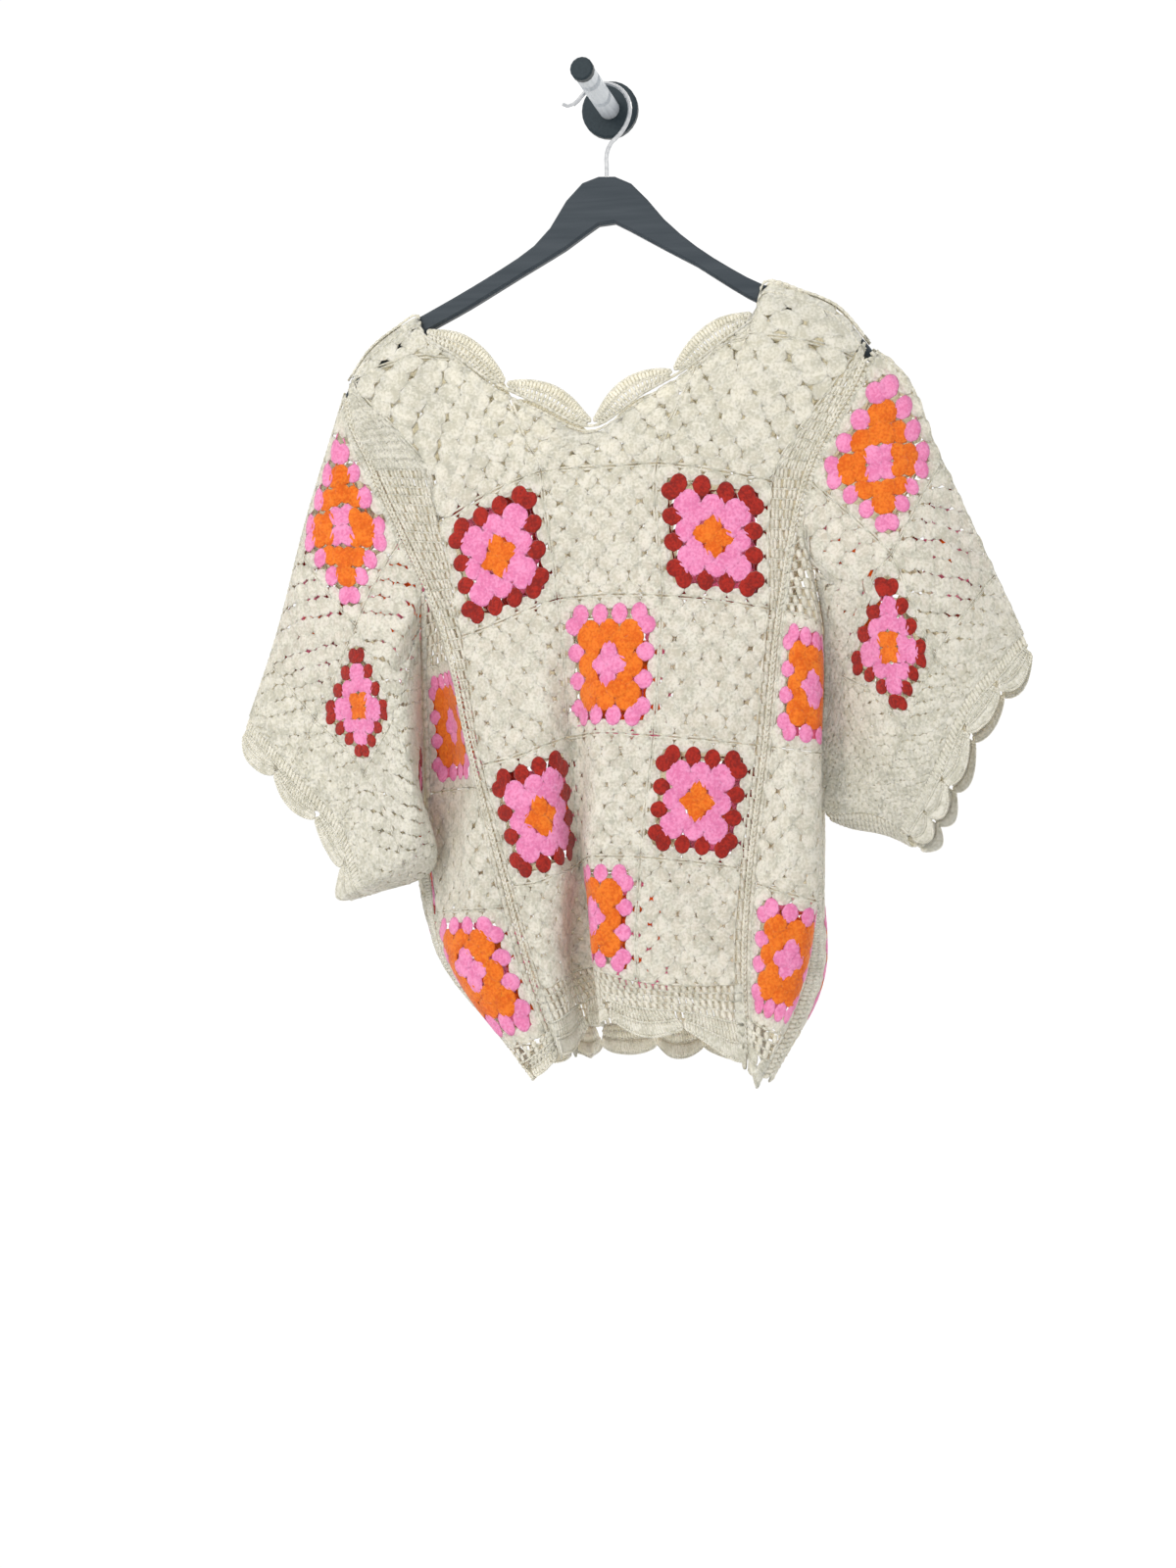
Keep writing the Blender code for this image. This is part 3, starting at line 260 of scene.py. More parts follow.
# A red square that lies round the left edge, in rows of the side column's cloth.
EDGE_SQUARE = (2.5, 3.4)
SLEEVE_COLOURS = {
    "back_left": {(0, 0): "orange", (1, 1): "red", (0, 3): "red"},
    "back_right": {(0, 0): "orange", (1, 1): "red"},
    "front_left": {(1, 0): "red", (0, 1): "orange"},
    "front_right": {(1, 0): "red", (0, 1): "orange"},
}

# Where the corners of the squares lie on a sleeve's cloth: the columns and the rows of four lines
# that go round the arm, the first at the armhole.
SLEEVE_COLUMNS = ((0,), (0.85,), (1.7,), (2.4,))
SLEEVE_CORNERS = {
    "back_left": (
        ((0,) * 5, (0.93, 0.83, 0.98, 0.97, 1), (1.7, 1.7, 1.64, 1.7, 1.7), (2.4,) * 5),
        ((0, 1.45, 2.4, 3.2, 4), (0, 1.33, 2.33, 3.2, 4), (0, 1.12, 2.03, 3, 4), (0, 1, 2, 3, 4)),
    ),
    "back_right": (
        ((0,) * 5, (0.88, 0.9, 0.4, 0.55, 0.8), (1.7, 1.71, 1.68, 1.65, 1.7), (2.4,) * 5),
        ((0, 0.9, 1.9, 2.7, 3.3), (0, 0.94, 2.04, 2.75, 3.3), (0, 1.16, 1.93, 2.65, 3.3),
         (0, 1.1, 1.9, 2.65, 3.3)),
    ),
    "front_left": (SLEEVE_COLUMNS, (0, 1.1, 2.1, 3.1, 4)),
    "front_right": (SLEEVE_COLUMNS, (0, 0.9, 1.75, 2.55, 3.3)),
}
# The panels' lines are the columns 0 to 3. The back's rows droop to the left.
MIDDLE_ROWS = {
    "back": ((0.36, 1.14, 2.12, 3.1, 4), (0.05, 1, 2, 3.03, 4), (0, 1, 2, 3, 4), (0.1, 1, 2, 3, 4)),
    "front": ((0, 1, 2, 3, 4),) * 4,
}
# The rows of cloth on which a side column's squares start and end.
SIDE_STEPS = {"left": (1.3, 2.3, 3.3, 4.36), "right": (1.0, 2.0, 3.1, 4.22)}

# The flat size of each sheet before it was hung, in metres, and its area.
Cut = namedtuple("Cut", "width length area")


def length_along(points):
    """How far along a line each of its points is."""
    return np.concatenate([[0], np.cumsum(np.linalg.norm(np.diff(points, axis=0), axis=1))])


def between(at, keys, values):
    """Points read off at places along the keys."""
    return np.stack([np.interp(at, keys, values[:, k]) for k in range(3)], axis=-1)


def unit(vectors):
    """The vectors at length one."""
    return vectors / np.maximum(np.linalg.norm(vectors, axis=-1, keepdims=True), 1e-9)


def spots(u, v):
    """Places on a patch, from a number or an array each."""
    return np.stack(np.broadcast_arrays(u, v), axis=-1)


def in_grid(grid, at):
    """Values between the points of a grid, at places counted in its steps."""
    k = np.clip(np.floor(at).astype(int), 0, np.array(grid.shape[:2]) - 2)
    s, t = np.moveaxis((at - k)[..., None], -2, 0)
    i, j = np.moveaxis(k, -1, 0)
    near = grid[i, j] * (1 - s) + grid[i + 1, j] * s
    far = grid[i, j + 1] * (1 - s) + grid[i + 1, j + 1] * s
    return near * (1 - t) + far * t


def kept(limit, start, end):
    """The strands whose two ends are past a limit, or all of them if there is none."""
    if limit is None:
        return start, end
    good = (start[:, 1] > limit(start[:, 0])) & (end[:, 1] > limit(end[:, 0]))
    return start[good], end[good]


def through(knots, values, at):
    """A smooth line through values at their knots, and straight on past its ends."""
    step = np.diff(knots)
    slope = np.diff(values, axis=0) / step.reshape(-1, *[1] * (values.ndim - 1))
    lean = np.empty_like(values)
    lean[0], lean[-1] = slope[0], slope[-1]
    for i in range(1, len(knots) - 1):
        lean[i] = (slope[i - 1] * step[i] + slope[i] * step[i - 1]) / (step[i] + step[i - 1])
    i = np.clip(np.searchsorted(knots, at) - 1, 0, len(step) - 1)
    width = step[i]
    t = np.clip((at - knots[i]) / width, 0, 1)
    past = at - np.clip(at, knots[0], knots[-1])
    pick = (lambda a, j: a[j, np.arange(len(at))]) if values.ndim == 3 else (lambda a, j: a[j])
    t, width, past = t.reshape(-1, 1), width.reshape(-1, 1), past.reshape(-1, 1)
    low, high = pick(values, i), pick(values, i + 1)
    rise, fall = pick(lean, i) * width, pick(lean, i + 1) * width
    curve = (
        low * (1 + 2 * t) * (1 - t) ** 2
        + rise * t * (1 - t) ** 2
        + high * t * t * (3 - 2 * t)
        + fall * t * t * (t - 1)
    )
    end = np.where(past < 0, pick(lean, i), pick(lean, i + 1))
    return curve + end * past


def evenly(points, count):
    """count points at even distances along the smooth line through the points, and its length."""
    knots = length_along(points)
    fine = through(knots, points, np.linspace(0, knots[-1], 12 * len(points)))
    keys = length_along(fine)
    return between(np.linspace(0, keys[-1], count), keys, fine), keys[-1]


class Cloth:
    """A cloth surface through sections. A place on it is (column, row), counted in squares.

    start, if given, is a function of the row whose points the first side edge is drawn onto.
    inner and outer are the margins that the first and the last edge keep.
    """

    def __init__(self, lines, columns, start=None, inner=EDGE, outer=EDGE):
        sections = [Section(*line) for line in lines]
        self.columns = columns
        self.rows = np.array([s.row for s in sections], float)
        lines = [evenly(np.stack([s.x, s.y, s.z], axis=1).astype(float), LINE_POINTS) for s in sections]
        self.lines = np.array([line for line, _ in lines])
        self.start = start
        self.inner = inner
        self.outer = outer
        self.widths = np.array([[s.left, s.right, width] for s, (_, width) in zip(sections, lines)], float)

    def lean(self, row):
        """How much longer a margin is along the section at a row than square to the start edge."""
        if not self.start:
            return 1.0
        at = np.linspace(self.rows[0], self.rows[-1], 61)
        zero = np.zeros(len(at))
        across = self.on_sections(zero + 0.03, at) - self.on_sections(zero, at)
        ahead = self.start(at + 0.05) - self.start(at - 0.05)
        area = np.linalg.norm(np.cross(across, ahead), axis=1)
        whole = np.linalg.norm(across, axis=1) * np.linalg.norm(ahead, axis=1)
        return np.interp(row, at, whole / np.maximum(area, whole / MOST_LEAN + 1e-9))

    def share(self, column, row):
        """How far along its section a column is, from 0 to 1. The bands are a column wide each."""
        left, right, width = (np.interp(row, self.rows, self.widths[:, k]) for k in range(3))
        lean = self.lean(row)
        left, margin = left * lean, self.inner * lean
        inner = left + column / self.columns * (width - left - right)
        before = margin + (left - margin) * (1 + column)
        after = width - self.outer - (right - self.outer) * (1 + self.columns - column)
        return np.where(column < 0, before, np.where(column > self.columns, after, inner)) / width

    def on_sections(self, share, row):
        """Points at shares of the width, before the start edge is drawn in."""
        s = share * (LINE_POINTS - 1)
        i = np.clip(np.floor(s).astype(int), 0, LINE_POINTS - 2)
        t = (s - i).reshape(1, -1, 1)
        across = self.lines[:, i] * (1 - t) + self.lines[:, i + 1] * t
        return through(self.rows, across, row)

    def at(self, share, row):
        """Points at shares of the width, in millimetres."""
        share, row = np.broadcast_arrays(np.asarray(share, float), np.asarray(row, float))
        s, r = share.ravel(), row.ravel()
        points = self.on_sections(s, r)
        if self.start:
            miss = self.start(r) - self.on_sections(np.zeros_like(r), r)
            away = np.clip(2 * s, 0, 1)[:, None]
            points = points + miss * (1 - away) ** 2 * (1 + 2 * away)
        return points.reshape(*share.shape, 3)

    def place(self, column, row):
        """Points at columns and rows, in millimetres."""
        return self.at(self.share(column, row), row)

    def edge(self, share):
        """One side edge as a function of the row."""
        return lambda row: self.at(np.full(np.shape(row), share), row)


class Patch:
    """A surface given by a function of (u, v), with unit normals that face out of the garment.

    reach is how far up and down v a normal looks: part of a square, or 1 where v is in mm.
    """

    def __init__(self, place, out, reach=0.02):
        self.place = place
        self.out = out
        self.reach = reach

    def frames(self, u, v):
        """Points and outward normals."""
        along = self.place(u + 0.02, v) - self.place(u - 0.02, v)
        down = self.place(u, v + self.reach) - self.place(u, v - self.reach)
        return self.place(u, v), unit(np.cross(along, down) * self.out)


class Sampled(Patch):
    """A stretch of a patch, read from a fixed grid of its points and normals."""

    def __init__(self, patch, u0, u1, v0, v1, count=15):
        u, v = np.meshgrid(np.linspace(u0, u1, count), np.linspace(v0, v1, count), indexing="ij")
        self.grid = np.concatenate(patch.frames(u, v), axis=-1)
        self.low = np.array([u0, v0])
        self.step = np.array([u1 - u0, v1 - v0]) / (count - 1)

    def frames(self, u, v):
        both = in_grid(self.grid, (spots(u, v) - self.low) / self.step)
        return both[..., :3], both[..., 3:]


def add_object(name, data):
    """A new object in the scene."""
    made = bpy.data.objects.new(name, data)
    bpy.context.scene.collection.objects.link(made)
    return made


def ride_frame(made, replaced):
    """Puts a piece on the frame in place of its CAD nodes."""
    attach(made, "root")
    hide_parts(*replaced)
    return made


class Piece:
    """Strands and clusters gathered into one mesh, each with its own yarn."""

    def __init__(self, name):
        self.name = name
        self.points, self.faces, self.yarns, self.count = [], [], [], 0

    def add_rings(self, points, end, yarns):
        """Closed forms through rings of points (n, steps, ring, 3), each with its yarn."""
        n, steps, ring = points.shape[:3]
        base = self.count + np.arange(n)[:, None, None] * steps * ring
        k = np.arange(steps - 1)[None, :, None] * ring
        m = np.arange(ring)[None, None, :]
        a, b = base + k + m, base + k + (m + 1) % ring
        quads = np.stack([a, b, b + ring, a + ring], axis=-1)
        faces = (quads, base + end[:, ::-1], base + (steps - 1) * ring + end)
        self.points.append(points.reshape(-1, 3))
        self.faces.extend(part.reshape(-1, 4) for part in faces)
        closing = np.repeat(yarns, len(end))
        self.yarns.extend([np.repeat(yarns, (steps - 1) * ring), closing, closing])
        self.count += n * steps * ring

    def strands(self, patch, start, end, width, yarn, thick, lift=0.0, arch=0.3, rings=4, ends=TAPERED):
        """Tapered strands from start to end, both (n, 2) places on the patch. width is half of each."""
        if not len(start):
            return
        t = np.linspace(0, 1, rings)
        uv = start[:, None, :] * (1 - t)[None, :, None] + end[:, None, :] * t[None, :, None]
        line, normal = patch.frames(uv[..., 0], uv[..., 1])
        line = line + normal * (lift + arch * np.sin(math.pi * t)[None, :, None])
        self.tubes(line, normal, width, thick, yarn, ends)

    def chain(self, patch, places, look, yarn, limit=None):
        """Chained stitches from each place to the next."""
        start, end = kept(limit, places[:-1], places[1:])
        over = (end - start) * look.over
        self.strands(patch, start - over, end + over, look.width, yarn, look.thick, look.lift, look.arch, 3)

    def tubes(self, line, normal, width, thick, yarn, ends=TAPERED):
        """Closed four-sided tubes along lines of shape (n, rings, 3)."""
        side = unit(np.cross(normal, np.gradient(line, axis=1)))
        t = np.linspace(0, 1, line.shape[1])
        swell = ends[0] * (1 - t) + ends[1] * t + TUBE_SWELL * np.sin(math.pi * t)
        wide, deep = side * (width * swell)[:, None], normal * (thick * swell)[:, None]
        points = np.stack([line + wide, line + deep, line - wide, line - deep], axis=2)
        self.add_rings(points, TUBE_END, np.full(len(line), yarn))

    def clusters(self, patch, places, yarns):
        """Soft pads of three posts each. places is (n, steps, ring, 2), on the patch."""
        if not len(places):
            return
        line, normal = patch.frames(places[..., 0], places[..., 1])
        height = np.array([h for _, h in CLUSTER_RING])[None, :] * np.array(CLUSTER_HEIGHTS)[:, None]
        height = height[None] * RNG.normal(1, HEIGHT_SPREAD, (len(places), 1, 1))
        height = height + np.where(np.asarray(yarns) == CREAM, 0, COLOURED_LIFT)[:, None, None]
        self.add_rings(line + normal * height[..., None], CLUSTER_END, yarns)

    def build(self, replaced):
        """The mesh object, riding on the frame in place of its CAD nodes."""
        points = np.concatenate(self.points) * MM
        faces = np.concatenate(self.faces)
        mesh = bpy.data.meshes.new(self.name)
        mesh.vertices.add(len(points))
        mesh.vertices.foreach_set("co", points.ravel())
        mesh.loops.add(faces.size)
        mesh.loops.foreach_set("vertex_index", faces.ravel())
        mesh.polygons.add(len(faces))
        fields = {
            "loop_start": np.arange(len(faces)) * 4, "loop_total": np.full(len(faces), 4),
            "material_index": np.concatenate(self.yarns), "use_smooth": np.ones(len(faces), bool),
        }
        for field, values in fields.items():
            mesh.polygons.foreach_set(field, values)
        mesh.update(calc_edges=True)
        for yarn in YARN_MATERIALS:
            mesh.materials.append(yarn)
        return ride_frame(add_object(self.name, mesh), replaced)


def square(piece, patch, column, row, kind, limit=None):
    """A granny square over one cell of the patch: rounds of three-post clusters, chained round.

    limit, if given, is the lowest v that the square may reach at a u.
    """
    patch = Sampled(patch, column, column + 1, row, row + 1)
    centre = np.array([column + 0.5, row + 0.5])
    rounds = list(enumerate(zip(ROUNDS, KINDS[kind]), start=1))
    steps, widths = np.array(CLUSTER_STEPS)[:, None], np.array(CLUSTER_WIDTHS)[:, None]
    across = np.array([x for x, _ in CLUSTER_RING])
    places, yarns = [], []
    for n, (round_, colour) in rounds:
        half = RIM_HALF if n == RIM_ROUND and kind != "cream" else round_.half
        for middle in np.linspace(-round_.reach, round_.reach, n):
            x = middle + half * widths * across
            y = round_.inner + (round_.outer - round_.inner) * steps
            y = y + CLUSTER_BOW * (1 - across ** 2) * (2 * steps - 1)
            places.append(np.stack([x, -y], axis=-1))
            yarns.append(colour)
    places = np.array(places)
    places = quarters(places.reshape(-1, 2)).reshape(-1, *places.shape[1:])
    yarns = np.tile(yarns, 4)
    places = places + RNG.normal(0, CLUSTER_STRAY, (len(places), 1, 1, 2))
    places = places / 2 + centre
    middles = places.mean(axis=(1, 2), keepdims=True)
    places = middles + np.einsum("nij,nabj->nabi", roundness(patch, middles[:, 0, 0]), places - middles)
    if limit is not None:
        lowest = limit(places[..., 0])
        good = (places[..., 1] > lowest).mean(axis=(1, 2)) > LEAST_INSIDE
        places, yarns, lowest = places[good], yarns[good], lowest[good]
        places[..., 1] = np.maximum(places[..., 1], lowest)
    piece.clusters(patch, places, yarns)
    for n, (round_, colour) in rounds:
        t = np.linspace(-1, 1, n + 2)[:-1]
        ring = quarters(spots(t, -1.0) * (round_.outer - 0.01))
        ring = np.concatenate([ring, ring[:1]]) / 2 + centre
        piece.chain(patch, ring, SQUARE_CHAIN if n == len(ROUNDS) else ROUND_CHAIN, colour, limit)


def roundness(patch, middles):
    """For each place on a patch, the change of shape that takes out part of the cloth's shear there."""
    u, v = middles.T
    along = patch.frames(u + 0.05, v)[0] - patch.frames(u - 0.05, v)[0]
    down = patch.frames(u, v + 0.05)[0] - patch.frames(u, v - 0.05)[0]
    pull = np.stack([along, down], axis=-1)
    values, ways = np.linalg.eigh(np.swapaxes(pull, 1, 2) @ pull)
    values = np.maximum(values, 1e-6)
    share = np.sqrt(values / np.sqrt(values.prod(axis=1, keepdims=True)))
    share = np.clip(share, 0.4, 2.5) ** (SHEAR_KEPT - 1)
    return (ways * share[:, None, :]) @ np.swapaxes(ways, 1, 2)


def quarters(points):
    """Places on one side of a square, turned onto all four sides."""
    turns = ((1, 0), (0, 1), (-1, 0), (0, -1))
    return np.concatenate([points @ np.array([[c, s], [-s, c]]) for c, s in turns])


def squares(piece, patch, columns, rows, colours, limit=None):
    """A field of granny squares."""
    for i in range(*columns):
        for j in range(*rows):
            square(piece, patch, i, j, colours.get((i, j), "cream"), limit)


def span(patch, u, v):
    """The length in mm of a line over a patch, taken at nine places."""
    line = patch.place(np.linspace(*u, 9), np.linspace(*v, 9))
    return np.linalg.norm(np.diff(line, axis=0), axis=1).sum()


def fill(piece, patch, u0, u1, v0, v1, look=GROUPED_ROWS, limit=None):
    """Plain rows of posts over part of a patch. Posts run along v, and rows follow each other along v."""
    middle = (u0 + u1) / 2
    rows = max(1, round(span(patch, (middle, middle), (v0, v1)) / look.deep))
    group = look.group
    for k in range(rows):
        va, vb = v0 + (v1 - v0) * k / rows, v0 + (v1 - v0) * (k + 1) / rows
        length = span(patch, (u0, u1), ((va + vb) / 2, (va + vb) / 2))
        count = max(1, round(length / look.wide))
        at = (np.arange(count) + 0.5) / count
        if group:
            shift = k % 2 * (group // 2)
            cluster = np.floor((np.arange(count) + shift) / group)
            middle = (cluster * group + (group - 1) / 2 - shift + 0.5) / count
            at = middle + (at - middle) * GROUP_SQUEEZE
        u = u0 + (u1 - u0) * np.clip(at, 0, 1)
        tilt = (u1 - u0) / count * POST_TILT
        inset = (vb - va) * 0.01
        start, end = kept(limit, spots(u - tilt, va + inset), spots(u + tilt, vb - inset))
        half = length / count * (GROUPED_POST if group else PLAIN_POST)
        ends = TAPERED if group else EVEN
        piece.strands(patch, start, end, half, look.yarn, 0.8, arch=0.25, rings=5, ends=ends)
        joints = np.linspace(u0, u1, max(2, count // 2 + 1))
        piece.chain(patch, spots(joints, vb), ROW_CHAIN, look.yarn, limit)


def scallops(piece, patch, u0, u1, v0, rise, band, count, lace=0.5):
    """Scallops on a patch's edge: open fans of thin posts, each with a dense rim of short posts.

    lace is the share of the depth that the open fan takes.
    """
    each = (u1 - u0) / count
    inside, rim = np.linspace(0.03, 0.97, 19), np.linspace(0.02, 0.98, 27)
    low, high = (band + rise * np.sin(math.pi * t) ** 0.7 for t in (inside, rim))
    for s in range(count):
        left = u0 + each * s

        def across(t, spread):
            return left + each * (0.5 + (t - 0.5) * spread)

        start, end = spots(across(inside, 0.8), v0), spots(across(inside, 0.94), v0 + low * lace)
        piece.strands(patch, start, end, 1.6, EDGING, 0.8)
        start, end = spots(across(rim, 0.94), v0 + high * (lace + 0.03)), spots(left + each * rim, v0 + high)
        piece.strands(patch, start, end, 1.8, EDGING, 0.9)
        for share in (0.0, lace / 2, lace, 0.98):
            edge = spots(across(rim, 0.9 + 0.1 * share), v0 + high * share)
            piece.chain(patch, edge, SCALLOP_CHAIN, EDGING)


def raised_seam(name, line, normal, replaced):
    """A raised braid of slanting stitches along a joining seam."""
    piece = Piece(name)
    keys = length_along(line)
    at = np.linspace(0, keys[-1], int(keys[-1] / SEAM_STITCH) + 1)
    point, up = between(at, keys, line), between(at, keys, normal)
    ahead = unit(np.gradient(point, axis=0))
    side = np.cross(up, ahead)
    t = np.linspace(0, 1, 4)[None, :, None]
    for hand in (-1, 1):
        a = point[:-1] + side[:-1] * 1.9 * hand + up[:-1] * 0.3
        b = point[1:] + ahead[1:] * 1.4 + side[1:] * 0.3 * hand + up[1:] * 1.3
        strand = a[:, None] * (1 - t) + b[:, None] * t
        piece.tubes(strand, np.broadcast_to(up[:-1, None], strand.shape), 1.25, 1.1, EDGING)
    return piece.build(replaced)


def new_material(name):
    """A new material, with its node tree, its shader and its output."""
    material = bpy.data.materials.new(name)
    material.use_nodes = True
    tree = material.node_tree
    return material, tree, tree.nodes["Principled BSDF"], tree.nodes["Material Output"]


def new_node(tree, kind, values={}):
    """A new node with plain values on its sockets."""
    return set_sockets(tree.nodes.new(kind), values)


def set_sockets(node, values):
    """Puts plain values on a node's sockets, each by its name or number."""
    for socket, value in values.items():
        node.inputs[socket].default_value = value
    return node


def noise(tree, scale, detail, stretch=(1, 1, 1)):
    """A noise texture in object space, stretched along the axes."""
    place = new_node(tree, "ShaderNodeTexCoord")
    mapping = new_node(tree, "ShaderNodeMapping", {"Scale": stretch})
    texture = new_node(tree, "ShaderNodeTexNoise", {"Scale": scale, "Detail": detail})
    tree.links.new(place.outputs["Object"], mapping.inputs["Vector"])
    tree.links.new(mapping.outputs["Vector"], texture.inputs["Vector"])
    return texture.outputs["Fac"]


def blend_colours(tree, fac, low, high, spread=(0.3, 0.7)):
    """A colour ramp between two colours."""
    ramp = new_node(tree, "ShaderNodeValToRGB")
    for element, position, colour in zip(ramp.color_ramp.elements, spread, (low, high)):
        element.position = position
        element.color = (*colour, 1)
    tree.links.new(fac, ramp.inputs["Fac"])
    return ramp.outputs["Color"]


def bump(tree, fac, shader, strength, distance):
    """Bump from a value."""
    node = new_node(tree, "ShaderNodeBump", {"Strength": strength, "Distance": distance})
    tree.links.new(fac, node.inputs["Height"])
    tree.links.new(node.outputs["Normal"], shader.inputs["Normal"])


def maths(tree, operation, fac, factor):
    """A node that multiplies a value by a plain factor."""
    node = new_node(tree, "ShaderNodeMath", {1: factor})
    node.operation = operation
    tree.links.new(fac, node.inputs[0])
    return node


def yarn(name, low, high, glow, through_share):
    """Soft cotton yarn: uneven dye, fine fibres, and light that comes through it."""
    material, tree, shader, output = new_material(name)
    patchy = noise(tree, 90.0, 3.0)
    fibre = noise(tree, 480.0, 6.0)
    both = maths(tree, "MULTIPLY_ADD", patchy, 0.35)
    tree.links.new(maths(tree, "MULTIPLY", fibre, 0.65).outputs["Value"], both.inputs[2])
    colour = blend_colours(tree, both.outputs["Value"], low, high, YARN_SPREAD)
    tree.links.new(colour, shader.inputs["Base Color"])
    set_sockets(shader, {"Roughness": 0.88, "Specular IOR Level": 0.2})
    set_sockets(shader, {"Sheen Weight": 0.25, "Sheen Roughness": 0.6})
    bump(tree, fibre, shader, 0.9, 0.0012)
    glowing = new_node(tree, "ShaderNodeBsdfTranslucent", {"Color": (*glow, 1)})
    mix = new_node(tree, "ShaderNodeMixShader", {"Fac": through_share})
    tree.links.new(shader.outputs["BSDF"], mix.inputs[1])
    tree.links.new(glowing.outputs["BSDF"], mix.inputs[2])
    tree.links.new(mix.outputs["Shader"], output.inputs["Surface"])
    return material


def hard(name, low, high, roughness, metallic=0.0, scale=40.0, stretch=(1, 1, 1), rough_spread=0.12,
         depth=0.0002, gloss=0.5):
    """Painted wood, plastic or metal with uneven roughness and fine relief."""
    material, tree, shader, _ = new_material(name)
    grain = noise(tree, scale, 6.0, stretch)
    tree.links.new(blend_colours(tree, grain, low, high), shader.inputs["Base Color"])
    ends = {"To Min": roughness - rough_spread, "To Max": roughness + rough_spread}
    spread = new_node(tree, "ShaderNodeMapRange", ends)
    tree.links.new(grain, spread.inputs["Value"])
    tree.links.new(spread.outputs["Result"], shader.inputs["Roughness"])
    set_sockets(shader, {"Metallic": metallic, "Specular IOR Level": gloss})
    bump(tree, grain, shader, 0.35, depth)
    return material


RNG = np.random.default_rng(7)
YARN_SPREAD = (0.42, 0.58)
# Each yarn has a dark and a light colour, the colour of light through it, and the share of that light.
YARN_MATERIALS = [
    yarn("cream_yarn", (0.61, 0.62, 0.56), (0.94, 0.945, 0.91), (0.95, 0.90, 0.75), 0.5),
    yarn("pink_yarn", (0.80, 0.24, 0.50), (0.98, 0.42, 0.72), (0.96, 0.32, 0.50), 0.4),
    yarn("orange_yarn", (0.76, 0.15, 0.004), (0.96, 0.28, 0.02), (0.96, 0.22, 0.01), 0.4),
    yarn("dark_red_yarn", (0.22, 0.006, 0.002), (0.42, 0.016, 0.006), (0.65, 0.03, 0.01), 0.25),
    yarn("edging_yarn", (0.68, 0.68, 0.60), (0.96, 0.96, 0.91), (0.97, 0.92, 0.78), 0.45),
]


def yoke_patch(side, cloth, out):
    """The yoke in true depth, and its limit, which is the v of the neck's edge at a u.

    v counts squares of even pitch upwards from the panels' first row.
    """
    columns = np.linspace(-1, 4, 101)
    grid = cloth.place(columns[:, None], np.linspace(0, -1, 17)[None, :])
    heights = np.linalg.norm(np.diff(grid, axis=1), axis=2).sum(axis=1)
    drops = [rows[0] for rows in MIDDLE_ROWS[side]]

    def place(u, v):
        drop = np.interp(u, range(4), drops, left=0, right=0)
        v = v + drop * np.clip(v + 1, 0, 1)
        return cloth.place(u, np.where(v < 0, v * YOKE_PITCH / np.interp(u, columns, heights), v))

    def limit(u):
        return (NECK_MARGIN - np.interp(u, columns, heights)) / YOKE_PITCH

    return Patch(place, out), limit


def corner_patch(cloth, out, columns, rows):
    """A patch whose u and v count squares between corners at the given columns and rows of the cloth."""
    corners = spots(columns, rows).astype(float)

    def place(u, v):
        where = in_grid(corners, spots(u, v))
        return cloth.place(where[..., 0], where[..., 1])

    return Patch(place, out)


def build_middle(side, cloth, out):
    """The middle panel and the yoke of one side, with their plain bands."""
    patch = Patch(cloth.place, out)
    piece = Piece(f"{side}_body_crochet")
    cells = corner_patch(cloth, out, ((0,), (1,), (2,), (3,)), MIDDLE_ROWS[side])
    squares(piece, cells, (0, 3), (0, 4), MIDDLE_COLOURS)
    for u0, u1 in ((-0.98, -0.02), (3.02, 3.98)):
        for row in range(4):
            fill(piece, patch, u0, u1, row, row + 1)
    fill(piece, patch, -1, 4, 4.0, EDGING_ROW, FOOT_ROWS)
    high, limit = yoke_patch(side, cloth, out)
    squares(piece, high, (0, 3), (-2, 0), {}, limit)
    for u0, u1 in ((-1, 0), (3, 4)):
        fill(piece, high, u0, u1, -1.2, 0, limit=limit)
    across = np.linspace(-1, 4, 150)
    piece.chain(patch, spots(across, -1.0), NECK_CHAIN, EDGING)
    piece.chain(patch, spots(across, -0.93), YOKE_CHAIN, CREAM)
    return piece.build([f"{side}_panel", f"{side}_yoke"])


def build_side(name, cloth, out):
    """One side column."""
    patch = Patch(cloth.place, out)
    piece = Piece(f"side_{name}_crochet")
    steps = SIDE_STEPS[name.split("_")[1]]
    top, foot = steps[0], steps[-1]
    squares(piece, corner_patch(cloth, out, ((0,), (1,)), steps), (0, 1), (0, 3), SIDE_COLOURS)
    fill(piece, patch, -0.6, 1.6, cloth.rows[0] + 0.02, top, PLAIN_ROWS)
    fill(piece, patch, -0.9, 0.0, top, foot, PLAIN_ROWS)
    if name == "back_left":
        fill(piece, patch, 1.0, 1.9, top, EDGE_SQUARE[0], PLAIN_ROWS)
        square(piece, corner_patch(cloth, out, ((1,), (1.9,)), EDGE_SQUARE), 0, 0, "red")
        fill(piece, patch, 1.0, 1.9, EDGE_SQUARE[1], foot, PLAIN_ROWS)
    else:
        fill(piece, patch, 1.0, 1.9, top, foot, PLAIN_ROWS)
    if foot < EDGING_ROW:
        fill(piece, patch, -0.9, 1.9, foot, EDGING_ROW, FOOT_ROWS)
    return piece.build([f"side_{name}"])


